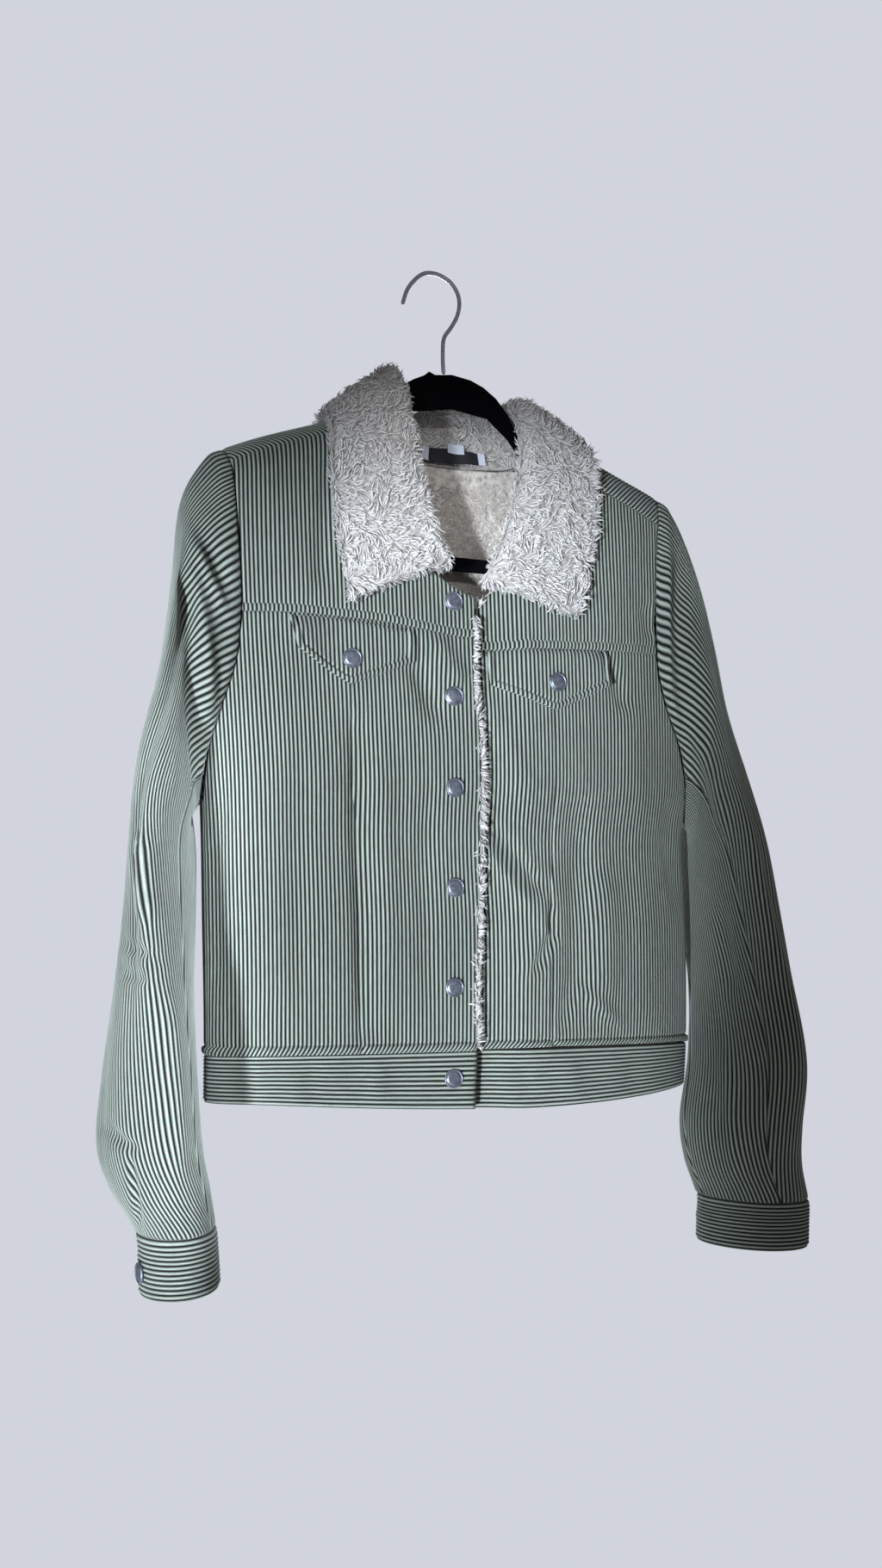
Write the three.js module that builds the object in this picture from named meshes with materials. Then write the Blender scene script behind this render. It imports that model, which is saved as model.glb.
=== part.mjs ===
// Sherpa lined corduroy jacket on a plain hanger
// Millimetres, +Z up, front to -Y. The hook's rest on the rail is the origin, and tables
// count x from the hanger's stem, which the last lines move by STEM_X.
import * as THREE from 'three';

// Driving sizes
const STEM_X = 8.5;
const CLOTH = 2;
const SHERPA = 4.5;
const BAND_CLOTH = 3.6;
const SEAM = 0.35;
const LAYER = 0.5;
const LINING_DEPTH = CLOTH + 3.4;
const ARMHOLE_SEAM = 1.3;
const RIDGE_ROUND = 28;
const BOXINESS = 2.7;
const WAIST_SEAM_Z = -612;
const UNDERARM_Z = -425;
const ARMHOLE_ROWS = 2.5;
const CUFF_ROW = 12;
const CUFF_SEAM = 0.008;
const COLLAR_WALL = 7;
const COLLAR_LIFT = 8.2;
const COLLAR_SEAM = 3;
const UNDER_STEP = LINING_DEPTH + SHERPA + LAYER;
const UNDER_START_X = 22;
const UNDER_END_X = 62;
const UNDER_EDGE_X = -24;
const SNAP_RADIUS = 7.5;
const SNAP_RISE = 3.2;
const HANGER_WALL = 5;
const HANGER_BAND = 13;
const HANGER_DROP = LINING_DEPTH + SHERPA + 3.9;
const WIRE_RADIUS = 1.6;

// Body sections by height
const BODY_RINGS = [
  // z, left edge x, right edge x, front depth, back depth
  [-90, -204, 212, 30, 27],
  [-200, -203, 213, 33, 30],
  [-300, -200, 215, 36, 33],
  [-400, -194, 214.5, 38, 35],
  [-450, -192, 209, 38, 36],
  [-520, -191, 214, 38, 36],
  [-610, -190, 215, 36, 35],
  [-660, -190, 212, 35, 34],
];

// Shoulder ridge, carried on across the neck
const RIDGE = [
  // x, z
  [-215, -178], [-182, -161], [-135, -141.5], [-92, -127], [-50, -114], [10, -104],
  [60, -111], [115, -130.5], [154, -145.5], [184, -157], [222, -176],
];

// Armhole seams
const ARMHOLES = {
  right: [
    // z, x
    [-425, -193], [-405, -192], [-385, -189.5], [-364, -184.5], [-341, -177], [-323, -171.5],
    [-306, -168.5], [-272, -166.5], [-221, -169], [-178, -173], [-160, -178],
  ],
  left: [
    // z, x
    [-425, 212.4], [-408, 211.5], [-394, 209.5], [-364, 200], [-341, 188.5], [-311, 179],
    [-288, 176.5], [-223, 177], [-178, 181], [-157.5, 185],
  ],
};

// Front seams
const YOKE_SEAM_RIGHT = [
  // x, z
  [-172, -284], [-131, -283], [-96, -284], [-60, -285.5], [-30, -289], [-5, -292], [22, -292],
];
const YOKE_SEAM_LEFT = [[-26, -299], [18, -299], [62, -296.5], [124, -293.5], [182, -291.5]];
const PANEL_SEAM_RIGHT = [[-85, -270], [-85, -406], [-81.5, -430], [-80, -506], [-77, -612]];
const PANEL_SEAM_LEFT = [[79.5, -270], [79.5, -430], [77, -505], [80.5, -612]];
const OVERLAP_EDGE = [
  // x, z
  [13, -256], [12.3, -293], [11.8, -333], [16.5, -366], [18, -412], [16.5, -465], [15, -518],
  [13.4, -558], [15, -612], [15, -657],
];
const NECKLINE_RIGHT = [
  // x, z
  [-78, -124], [-74, -150], [-65, -180], [-51, -208], [-35, -232], [-10, -251], [13, -262],
];
const NECKLINE_LEFT = [
  // x, z
  [UNDER_EDGE_X, -266], [8, -266], [25, -258], [46, -239], [64, -214], [78, -186], [86, -156],
  [90, -124],
];
const BAND_EDGE_X = 15;
const HEM = [
  // x, z
  [-192, -647], [-156, -648], [-90, -652], [-35, -655], [16, -657], [65, -658], [125, -656],
  [172, -652], [216, -646],
];
const SHOULDER_SEAM_REACH = { right: 29, left: 45 };
const NECK_X = { right: -80, left: 92.4 };
const BACK_CROWDING = 2.1;
const LINING_NECK = 1.05;
const BACK_NECK = [
  // x, reach, one row for each column of the back's grid
  [-80, -29], [-79.6, -14], [-79, 0], [-77, 13], [-72, 26], [-60, 39], [-38, 48], [-12, 54], [14, 57],
  [40, 53], [60, 46.5], [75, 38], [86, 24], [90, 11], [91, -4], [91.6, -18], [92, -32], [92.4, -45],
];

// Largest folds of the fronts: a soft groove or ridge between two points
const FRONT_FOLDS = [
  // x1, z1, x2, z2, half width, rise
  [-80, -370, -74, -590, 13, -3],
  [100, -430, 98, -585, 16, -3],
  [40, -445, 72, -500, 12, 3],
  [74, -520, 60, -545, 12, 2.5],
  [-38, -320, -20, -352, 14, -2.5],
  [-140, -330, -150, -560, 18, 3],
  [150, -350, 168, -580, 16, 3],
  [-150, -180, -120, -262, 16, 2.5],
  [150, -200, 128, -270, 16, 2.5],
];
const BACK_FOLDS = [
  [-95, -330, -78, -590, 26, 3.5],
  [96, -330, 88, -590, 26, 3.5],
  [-40, -170, 50, -172, 18, 2.5],
];

// Sleeve rings from the armhole to the cuff's edge
const SLEEVES = {
  right: [
    // outer x, outer z, inner x, inner z, centre y, half depth, yaw
    [-178, -160, -193, -425, 0, 24, 0],
    [-194, -173, -197, -428, 0, 31, 2],
    [-209, -204, -200, -432, 0, 41, 6],
    [-215, -262, -201, -437, -1, 53, 10],
    [-222, -325, -201, -443, -2, 64, 14],
    [-235, -386, -201, -452, -4, 73, 17],
    [-242, -440, -201, -470, -7, 78, 18],
    [-249, -503, -201, -512, -14, 76, 16],
    [-259, -562, -203, -566, -24, 70, 12],
    [-269, -622, -203, -624, -35, 62, 8],
    [-274, -668, -201, -672, -44, 55, 6],
    [-266, -698, -196, -702, -48, 49, 5],
    [-248, -730, -192, -728, -50, 45, 5],
    [-246, -751, -190.5, -748, -51, 45, 5],
    [-245, -772, -189.5, -768, -52, 44, 5],
  ],
  left: [
    [185, -157.5, 212.4, -425, 0, 24, 0],
    [202, -172, 217.5, -428, 0, 30, 2],
    [218, -208, 221.5, -432, -1, 40, 5],
    [229, -262, 223, -436, -3, 52, 8],
    [238, -322, 223, -442, -6, 64, 10],
    [252, -382, 223.5, -451, -10, 74, 10],
    [264, -440, 223, -466, -15, 78, 8],
    [270, -503, 222, -508, -26, 74, 3],
    [272, -562, 221, -566, -42, 64, -6],
    [265, -620, 207, -624, -67, 57, -18],
    [256, -668, 193, -672, -76, 52, -30],
    [256, -700, 195, -703, -77, 48, -36],
    [260, -729, 206, -731, -78, 45, -40],
    [260, -746, 206, -749, -78, 45, -40],
    [259, -764, 206, -768, -78, 45, -40],
  ],
};

// Seams of the under sleeve, as angles
const UNDER_SLEEVE_ARC = { right: [128, 212], left: [132, 222] };
const SLEEVE_SEAM_ARC = 0.4;

// Largest folds of the sleeves, where a row counts as this many degrees
const FOLD_ROW_DEGREES = 12;
const SLEEVE_FOLDS = {
  right: [
    // row 1, angle 1, row 2, angle 2, half width in degrees, rise
    [1.6, -72, 6.6, -62, 15, -9],
    [1.2, -30, 3.4, -95, 14, -3.5],
    [7.2, -40, 8.2, -75, 14, -3],
    [9.6, -20, 10.4, -80, 16, -3.5],
    [3, 70, 7, 60, 18, -5],
  ],
  left: [
    [1.4, -60, 6.4, -78, 16, -5],
    [1.2, -88, 4.6, -100, 14, 3.5],
    [6.5, -95, 8, -50, 16, -3.5],
    [9.4, -60, 10.4, -20, 16, -3],
    [3, 70, 7, 60, 18, -5],
  ],
};

// Collar stations from the right wing's tip round the back to the left wing's tip. The
// first column is the neckline's z on the fronts, and its x on the back
const COLLAR_NECK = {
  right: [-247, -222, -190, -158, -134],
  back: [-75, -57, -20, 12, 42, 71, 86],
  left: [-136, -164, -195, -215, -229],
};
const COLLAR = [
  // fold x, y, z, outer edge x, outer edge reach, which is negative on the fronts
  [-15, -36, -240, -85, -161],
  [-25, -33, -210, -90, -132],
  [-35, -30, -176, -95, -97],
  [-38, -22, -140, -98, -57],
  [-41, -13, -108, -98, -24],
  [-42, 3, -88, -97, 8],
  [-31, 25, -89, -76, 46],
  [-10, 34, -93, -28, 78],
  [14, 36, -93, 15, 86],
  [38, 34, -97, 58, 74],
  [56, 24, -99, 92, 46],
  [61, 5, -99, 108, 8],
  [62, -13, -112, 112, -26],
  [61, -23, -146, 113, -62],
  [51, -30, -189, 110, -95],
  [39, -33, -221, 103, -131],
  [24, -36, -252, 97, -162],
];
const COLLAR_REST = COLLAR_WALL / 2 + 2;

// Pocket flaps
const FLAP_LIFT = LAYER + 0.3 + CLOTH;
const FLAP_CURL = 3;
const FLAPS = {
  right: {
    top: [[-131, -285.5], [-85, -286.5], [-37, -292]],
    bottom: [[-125.5, -311], [-88, -333.5], [-82, -333.5], [-35.5, -315]],
    left: [[-131, -285.5], [-125.5, -311]],
    right: [[-37, -292], [-35.5, -315]],
  },
  left: {
    top: [[24.5, -300.5], [80, -297], [124.5, -295]],
    bottom: [[27.5, -327], [75.5, -344], [81.5, -344], [126, -322.5]],
    left: [[24.5, -300.5], [27.5, -327]],
    right: [[124.5, -295], [126, -322.5]],
  },
};

// Snaps: places on the fronts, and the cuffs' as a sleeve row and an angle
const FRONT_SNAPS_Z = [-266, -339, -409.5, -486, -562.5, -632.5];
const FRONT_SNAP_X = -5;
const FLAP_SNAPS = { right: [-85, -316], left: [79, -323.5] };
const CUFF_SNAPS = { right: [13.2, -22], left: [13.2, 68] };
const CUFF_LAP = { right: -38, left: 52 };
const CUFF_LAP_ARC = 34;
const CUFF_LIFT = 0.6;
const CUFF_SNAP_ARC = 12;
const CUFF_ROW_HEIGHT = 20;

// Hanger outline
const ARCH = [
  [-74, -140], [-60, -125], [-48, -107], [-37, -92], [-25, -84.8], [-17, -81], [-13, -77.5],
  [-8, -79.5], [0, -78.5], [6, -77.5], [22, -79.7], [33, -84], [44, -91.5], [54, -103],
  [63, -119], [76, -135], [88, -144],
];
const ARCH_UNDER = [[-72, -153], [-42, -121], [-25, -109], [8, -103], [38, -107], [56, -122], [77, -150]];
const HANGER_ARMS = { right: [-168, -92], left: [104, 174] };
const HANGER_ENDS = [
  [180, -178], [178, -191], [165, -219], [154, -232],
  [-148, -232], [-159, -219], [-171, -194], [-173, -184],
];
const BAR_TOP = [[162, -192], [149, -222], [-142, -222], [-156, -192]];
const HOOK_ROUTE = [
  [0, -77.8], [-0.6, -66], [-0.4, -53], [1.2, -46.5], [6, -39.5], [11.2, -30], [13.4, -20],
  [11.8, -11], [6.2, -3.6], [-1.5, 0.4], [-8.5, 1.6], [-16.5, 0.2], [-24, -5.8], [-30.5, -15],
  [-34.6, -27.5],
];

const COLOURS = {
  corduroy: [0x5f6f63, 0.85, 0],
  sherpa: [0xd8d4cf, 0.95, 0],
  lining: [0xa9a098, 0.95, 0],
  snap: [0x9aa0ac, 0.35, 0.9],
  hanger: [0x16171a, 0.4, 0],
  wire: [0xa2a5aa, 0.3, 0.9],
  label: [0xb5b0a6, 0.9, 0],
};

// Curves
const radians = THREE.MathUtils.degToRad;
const mix = THREE.MathUtils.lerp;
const smooth = (t) => THREE.MathUtils.smoothstep(t, 0, 1);

// A smooth value between rows, keyed by one column or by the row's number
function sampleRows(rows, at, keyColumn = null) {
  const key = (i) => (keyColumn === null ? i : rows[i][keyColumn]);
  const rising = key(rows.length - 1) > key(0);
  let i = 0;
  while (i < rows.length - 2 && (rising ? at > key(i + 1) : at < key(i + 1))) i += 1;
  const span = key(i + 1) - key(i);
  const t = THREE.MathUtils.clamp((at - key(i)) / span, 0, 1);
  const slope = (j, column) => {
    const a = Math.max(j - 1, 0);
    const b = Math.min(j + 1, rows.length - 1);
    return ((rows[b][column] - rows[a][column]) / (key(b) - key(a))) * span;
  };
  const [t2, t3] = [t * t, t * t * t];
  return rows[0].map((_, column) => (2 * t3 - 3 * t2 + 1) * rows[i][column]
    + (t3 - 2 * t2 + t) * slope(i, column)
    + (3 * t2 - 2 * t3) * rows[i + 1][column]
    + (t3 - t2) * slope(i + 1, column));
}

const ridgeZ = (x) => sampleRows(RIDGE, x, 0)[1];
const armholeX = (side, z) => sampleRows(ARMHOLES[side], z, 0)[1];

// The rise of all folds at a point of a flat chart
function foldRise(folds, a, b, aspect = 1) {
  let rise = 0;
  for (const [a1, b1, a2, b2, halfWidth, height] of folds) {
    const [da, db] = [(a2 - a1) * aspect, b2 - b1];
    const [pa, pb] = [(a - a1) * aspect, b - b1];
    const length = Math.hypot(da, db);
    const along = (pa * da + pb * db) / length;
    const across = (pa * db - pb * da) / length;
    const past = Math.max(-along, along - length, 0);
    rise += height * Math.exp(-((across / halfWidth) ** 2) - (past / halfWidth) ** 2);
  }
  return rise;
}

// Body surface: a face, a turn from its middle and a reach down from the shoulder ridge
const underStep = (x) => UNDER_STEP * smooth((UNDER_END_X - x) / (UNDER_END_X - UNDER_START_X));
const FACES = {
  over: { dir: -1, step: () => 0, folds: FRONT_FOLDS },
  under: { dir: -1, step: underStep, folds: FRONT_FOLDS },
  back: { dir: 1, step: () => 0, folds: BACK_FOLDS },
};

const dropAt = (reach) => {
  const bend = Math.min(Math.abs(reach) / RIDGE_ROUND, Math.PI / 2);
  return RIDGE_ROUND * (1 - Math.cos(bend)) + Math.max(Math.abs(reach) - (RIDGE_ROUND * Math.PI) / 2, 0);
};

// Linings hang straight behind the folds
const LINING_FACES = {
  right: { ...FACES.over, folds: [] },
  left: { ...FACES.under, folds: [] },
  back: { ...FACES.back, folds: [] },
};

function bodyPoint(face, turn, reach, lift) {
  const dir = reach < 0 ? -face.dir : face.dir;
  const bend = Math.min(Math.abs(reach) / RIDGE_ROUND, Math.PI / 2);
  const drop = dropAt(reach);
  const u = Math.sin(turn);
  let x = 200 * u;
  let ring = [];
  for (let pass = 0; pass < 4; pass += 1) {
    ring = sampleRows(BODY_RINGS, ridgeZ(x) - drop, 0);
    x = (ring[1] + ring[2]) / 2 + ((ring[2] - ring[1]) / 2) * u;
  }
  const z = ridgeZ(x) - drop;
  const middle = (ring[1] + ring[2]) / 2;
  const half = (ring[2] - ring[1]) / 2;
  const outward = Math.cos(turn) < 0 ? -dir : dir;
  const depth = ring[outward < 0 ? 3 : 4] + foldRise(face.folds, x, z) * (reach < 0 ? 0 : 1);
  const fullness = Math.max(1 - Math.abs(u) ** BOXINESS, 0) ** (1 / BOXINESS);
  return new THREE.Vector3(
    middle + (half + lift * Math.sin(bend)) * u,
    outward * (depth - face.step(x) + lift) * fullness * Math.sin(bend),
    z + lift * Math.cos(bend),
  );
}

// The chart place, turn and reach, of a point given by x and z
function chart(x, z) {
  const ring = sampleRows(BODY_RINGS, z, 0);
  const u = (2 * x - ring[1] - ring[2]) / (ring[2] - ring[1]);
  const drop = Math.max(ridgeZ(x) - z, 0);
  const reach = drop < RIDGE_ROUND
    ? RIDGE_ROUND * Math.acos(1 - drop / RIDGE_ROUND)
    : (RIDGE_ROUND * Math.PI) / 2 + drop - RIDGE_ROUND;
  return [Math.asin(THREE.MathUtils.clamp(u, -1, 1)), reach];
}

// Solids
// A closed wall between two grids of points, each grid[i][j]
function wallGeometry(outer, inner) {
  const [nu, nv] = [outer.length - 1, outer[0].length - 1];
  const positions = [];
  const index = [];
  for (const grid of [outer, inner]) {
    for (const line of grid) for (const p of line) positions.push(p.x, p.y, p.z);
  }
  const o = (i, j) => i * (nv + 1) + j;
  const n = (i, j) => o(i, j) + (nu + 1) * (nv + 1);
  const quad = (a, b, c, d) => index.push(a, b, c, a, c, d);
  for (let i = 0; i < nu; i += 1) {
    for (let j = 0; j < nv; j += 1) {
      quad(o(i, j), o(i + 1, j), o(i + 1, j + 1), o(i, j + 1));
      quad(n(i, j), n(i, j + 1), n(i + 1, j + 1), n(i + 1, j));
    }
    quad(o(i, 0), n(i, 0), n(i + 1, 0), o(i + 1, 0));
    quad(o(i, nv), o(i + 1, nv), n(i + 1, nv), n(i, nv));
  }
  for (let j = 0; j < nv; j += 1) {
    quad(o(0, j), o(0, j + 1), n(0, j + 1), n(0, j));
    quad(o(nu, j), n(nu, j), n(nu, j + 1), o(nu, j + 1));
  }
  return facingOut(positions, index);
}

function facingOut(positions, index) {
  let volume = 0;
  const at = (i) => new THREE.Vector3(...positions.slice(3 * i, 3 * i + 3));
  for (let i = 0; i < index.length; i += 3) {
    volume += at(index[i]).dot(at(index[i + 1]).cross(at(index[i + 2])));
  }
  if (volume < 0) index.reverse();
  const geometry = new THREE.BufferGeometry();
  geometry.setAttribute('position', new THREE.Float32BufferAttribute(positions, 3));
  geometry.setIndex(index);
  geometry.computeVertexNormals();
  return geometry;
}

function grid(nu, nv, point) {
  const line = (u) => Array.from({ length: nv + 1 }, (_, j) => point(u, j / nv));
  return Array.from({ length: nu + 1 }, (_, i) => line(i / nu));
}

// A seam line as chart places, its x or z going evenly from its first point to its last
function seamLine(points, axis) {
  const [first, last] = [points[0][axis], points[points.length - 1][axis]];
  return (t) => {
    const point = sampleRows(points, mix(first, last, t), axis);
    return chart(point[0], point[1]);
  };
}

// A four-sided patch of the body between seam lines, drawn in by half a seam; crowding
// over 1 brings its rows closer together at the top
function patch(face, edges, steps, lift, wall, crowding = 1) {
  const corners = [edges.top(0), edges.top(1), edges.bottom(0), edges.bottom(1)];
  const place = (u, v) => [0, 1].map((k) => (1 - v) * edges.top(u)[k] + v * edges.bottom(u)[k]
    + (1 - u) * edges.left(v)[k] + u * edges.right(v)[k]
    - (1 - u) * (1 - v) * corners[0][k] - u * (1 - v) * corners[1][k]
    - (1 - u) * v * corners[2][k] - u * v * corners[3][k]);
  const surface = (u, v, rise) => bodyPoint(face, ...place(u, v), rise);
  const width = surface(0, 0.5, 0).distanceTo(surface(1, 0.5, 0));
  const height = surface(0.5, 0, 0).distanceTo(surface(0.5, 1, 0));
  const [eu, ev] = [SEAM / 2 / width, SEAM / 2 / height];
  const layer = (extra) => grid(...steps, (u, v) => {
    const [a, b] = [mix(eu, 1 - eu, u), mix(ev, 1 - ev, v ** crowding)];
    const rise = typeof lift === 'function' ? lift(a, b) : lift;
    return surface(a, b, rise + extra);
  });
  return wallGeometry(layer(0), layer(-wall));
}

// Edges of the body's pieces, as chart places at a share t of their way
const xPlace = (x, reach) => [chart(x, ridgeZ(x) - dropAt(reach))[0], reach];
const joined = (first, second, share) => (t) => (
  t < share ? first(t / share) : second((t - share) / (1 - share))
);
const reversed = (line) => (t) => line(1 - t);

// The armhole, its reach going evenly; a negative reach lies on the other face
function armholeLine(side, fromReach, toReach) {
  return (t) => {
    const reach = mix(fromReach, toReach, t);
    let x = armholeX(side, -200);
    for (let pass = 0; pass < 4; pass += 1) x = armholeX(side, ridgeZ(x) - dropAt(reach));
    return xPlace(x, reach);
  };
}

// A line at a height, its turn going evenly
function levelLine(fromTurn, toTurn, zAt) {
  return (t) => {
    const turn = mix(fromTurn, toTurn, t);
    let x = 200 * Math.sin(turn);
    for (let pass = 0; pass < 4; pass += 1) {
      const ring = sampleRows(BODY_RINGS, zAt(x), 0);
      x = (ring[1] + ring[2]) / 2 + ((ring[2] - ring[1]) / 2) * Math.sin(turn);
    }
    return [turn, chart(x, zAt(x))[1]];
  };
}
const atWaist = () => WAIST_SEAM_Z;

function sideLine(side, fromZ, toZ) {
  const column = side === 'right' ? 1 : 2;
  return (t) => {
    const z = mix(fromZ, toZ, t);
    return chart(sampleRows(BODY_RINGS, z, 0)[column], z);
  };
}

const armReach = (side, z) => chart(armholeX(side, z), z)[1];
const seamZ = (points, x) => sampleRows(points, x, 0)[1];
const sign = (side) => (side === 'right' ? -1 : 1);

// A seam's stretch between two places along x
const stretch = (points, fromX, toX) => (t) => chart(mix(fromX, toX, t), seamZ(points, mix(fromX, toX, t)));

const FRONTS = { right: FACES.over, left: FACES.under };
const YOKE = { right: YOKE_SEAM_RIGHT, left: YOKE_SEAM_LEFT };
const PANEL = { right: PANEL_SEAM_RIGHT, left: PANEL_SEAM_LEFT };
const NECKLINE = { right: NECKLINE_RIGHT, left: NECKLINE_LEFT };
const YOKE_ARM_Z = { right: -284, left: -291.6 };
const FRONT_EDGE_X = { right: 12.4, left: UNDER_EDGE_X };
const TOP_CORNER_Z = { right: -262, left: -266 };
const PANEL_TOP_X = { right: -85, left: 79.5 };
const SIDE = Math.PI / 2;
const SIDE_ARM_SHARE = 0.42;
const BACK_ARM_SHARE = 0.6;
const YOKE_SHARE = { outer: 0.28, inner: 0.1 };
const NECK_SHARE = 7 / 12;

// The outer edge comes first in each of these, and turned() sets it left or right
function turned(side, outerLine, innerLine, top, bottom) {
  if (side === 'right') return { left: outerLine, right: innerLine, top, bottom };
  return { left: innerLine, right: outerLine, top: reversed(top), bottom: reversed(bottom) };
}

function yokeEdges(side) {
  const reach = SHOULDER_SEAM_REACH[side];
  const arm = armholeLine(side, reach, armReach(side, YOKE_ARM_Z[side]));
  const armTopX = bodyPoint(FACES.over, ...arm(0), 0).x;
  const shoulder = (t) => xPlace(mix(armTopX, NECK_X[side], t), reach);
  const neckTop = [NECK_X[side], bodyPoint(FACES.over, ...shoulder(1), 0).z];
  const inner = NECKLINE[side].slice(1);
  const fromNeck = side === 'right' ? [neckTop, ...inner] : [...NECKLINE[side].slice(0, -1), neckTop];
  const neck = seamLine(fromNeck, 0);
  const neckLine = side === 'right' ? neck : reversed(neck);
  const edgeX = FRONT_EDGE_X[side];
  const seam = stretch(YOKE[side], armholeX(side, YOKE_ARM_Z[side]), edgeX);
  const cornerX = side === 'right' ? inner[inner.length - 1][0] : edgeX;
  const front = seamLine([[cornerX, TOP_CORNER_Z[side]], [edgeX, seamZ(YOKE[side], edgeX)]], 1);
  return turned(side, arm, front, joined(shoulder, neckLine, 1 - NECK_SHARE), seam);
}

function centreEdges(side) {
  const [panelX, edgeX] = [PANEL_TOP_X[side], FRONT_EDGE_X[side]];
  const panel = seamLine([[panelX, seamZ(YOKE[side], panelX)], ...PANEL[side].slice(1)], 1);
  const underEdge = [[edgeX, seamZ(YOKE[side], edgeX)], [edgeX, WAIST_SEAM_Z]];
  const overEdge = [[edgeX, seamZ(YOKE[side], edgeX)], ...OVERLAP_EDGE.slice(2, -1)];
  const front = seamLine(side === 'right' ? overEdge : underEdge, 1);
  const waist = levelLine(panel(1)[0], front(1)[0], atWaist);
  return turned(side, panel, front, stretch(YOKE[side], panelX, edgeX), waist);
}

function sideEdges(side) {
  const panelX = PANEL_TOP_X[side];
  const arm = armholeLine(side, armReach(side, YOKE_ARM_Z[side]), armReach(side, UNDERARM_Z));
  const outer = joined(arm, sideLine(side, UNDERARM_Z, WAIST_SEAM_Z), SIDE_ARM_SHARE);
  const inner = seamLine([[panelX, seamZ(YOKE[side], panelX)], ...PANEL[side].slice(1)], 1);
  const waist = levelLine(outer(1)[0], inner(1)[0], atWaist);
  return turned(side, outer, inner, stretch(YOKE[side], armholeX(side, YOKE_ARM_Z[side]), panelX), waist);
}

// The whole front, for its lining
function frontEdges(side) {
  const yoke = yokeEdges(side);
  const centre = centreEdges(side);
  const half = sideEdges(side);
  const [outer, inner] = side === 'right' ? ['left', 'right'] : ['right', 'left'];
  const [from, to] = side === 'right' ? [half.left(1), centre.right(1)] : [centre.left(1), half.right(1)];
  const waist = levelLine(from[0], to[0], atWaist);
  return {
    top: yoke.top,
    bottom: waist,
    [outer]: joined(yoke[outer], half[outer], YOKE_SHARE.outer),
    [inner]: joined(yoke[inner], centre[inner], YOKE_SHARE.inner),
  };
}

// The back's top edge runs along one shoulder, round the neck and along the other shoulder
const SHOULDER_COLUMNS = 5;
const NECK_COLUMNS = BACK_NECK.length - 1;
const BACK_COLUMNS = NECK_COLUMNS + 2 * SHOULDER_COLUMNS;

function backEdges(neckGrowth = 1) {
  const line = (side) => joined(
    armholeLine(side, -SHOULDER_SEAM_REACH[side], armReach(side, UNDERARM_Z)),
    sideLine(side, UNDERARM_Z, WAIST_SEAM_Z),
    BACK_ARM_SHARE,
  );
  const [left, right] = [line('right'), line('left')];
  const fromX = bodyPoint(FACES.back, ...left(0), 0).x;
  const toX = bodyPoint(FACES.back, ...right(0), 0).x;
  const top = (t) => {
    const column = t * BACK_COLUMNS - SHOULDER_COLUMNS;
    const past = (column - NECK_COLUMNS) / SHOULDER_COLUMNS;
    if (column < 0) {
      const x = mix(NECK_X.right * neckGrowth, fromX, -column / SHOULDER_COLUMNS);
      return xPlace(x, -SHOULDER_SEAM_REACH.right);
    }
    if (past > 0) return xPlace(mix(NECK_X.left * neckGrowth, toX, past), -SHOULDER_SEAM_REACH.left);
    const [x, reach] = sampleRows(BACK_NECK, column);
    return xPlace(x * neckGrowth, reach);
  };
  return { left, right, top, bottom: levelLine(left(1)[0], right(1)[0], atWaist) };
}

// The waistband's stretches, from the waist seam to the hem
function bandEdges(fromTurn, toTurn) {
  const top = levelLine(fromTurn, toTurn, atWaist);
  const bottom = levelLine(fromTurn, toTurn, (x) => seamZ(HEM, x));
  const side = (t) => (v) => [mix(top(t)[0], bottom(t)[0], v), mix(top(t)[1], bottom(t)[1], v)];
  return { top, bottom, left: side(0), right: side(1) };
}

// Sleeves: rings of an outer and an inner rail, the first one shaped to the armhole
function ringPoint(side, row, angle, lift) {
  const [outX, outZ, inX, inZ, midY, depth, yaw] = sampleRows(SLEEVES[side], row);
  const across = new THREE.Vector3(outX - inX, 0, outZ - inZ);
  const freedom = smooth(row / ARMHOLE_ROWS);
  const rise = freedom * foldRise(SLEEVE_FOLDS[side], row, wrapped(angle), FOLD_ROW_DEGREES);
  const half = across.length() / 2 + lift + rise;
  across.normalize();
  const swing = new THREE.Vector3(0, 1, 0);
  const turn = new THREE.Quaternion().setFromAxisAngle(new THREE.Vector3(0, 0, 1), -radians(yaw));
  const point = new THREE.Vector3((outX + inX) / 2, midY, (outZ + inZ) / 2);
  point.addScaledVector(across.applyQuaternion(turn), half * Math.cos(angle));
  point.addScaledVector(swing.applyQuaternion(turn), (depth + lift + rise) * Math.sin(angle));
  if (freedom < 1) point.addScaledVector(armholeShift(side, angle), 1 - freedom);
  return point;
}

const wrapped = (angle) => (((angle * 180) / Math.PI + 540) % 360) - 180;

// How far the armhole lies from the first ring's ellipse
function armholeShift(side, angle) {
  const [outX, outZ, inX, inZ, , depth] = SLEEVES[side][0];
  const z = mix(inZ, outZ, (1 + Math.cos(angle)) / 2);
  const x = armholeX(side, Math.min(z, outZ - 0.2));
  const face = Math.sin(angle) < 0 ? FACES.over : FACES.back;
  const seat = bodyPoint(face, ...chart(x, Math.min(z, ridgeZ(x))), 0);
  return new THREE.Vector3(
    x + sign(side) * ARMHOLE_SEAM - mix(inX, outX, (1 + Math.cos(angle)) / 2),
    seat.y - depth * Math.sin(angle),
    0,
  );
}

function sleeveWall(side, rows, angles, steps, wall) {
  const layer = (lift) => grid(...steps, (u, v) => {
    const row = mix(rows[0], rows[1], v);
    return ringPoint(side, row, radians(mix(angles[0], angles[1], u)), lift);
  });
  return wallGeometry(layer(0), layer(-wall));
}

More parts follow.
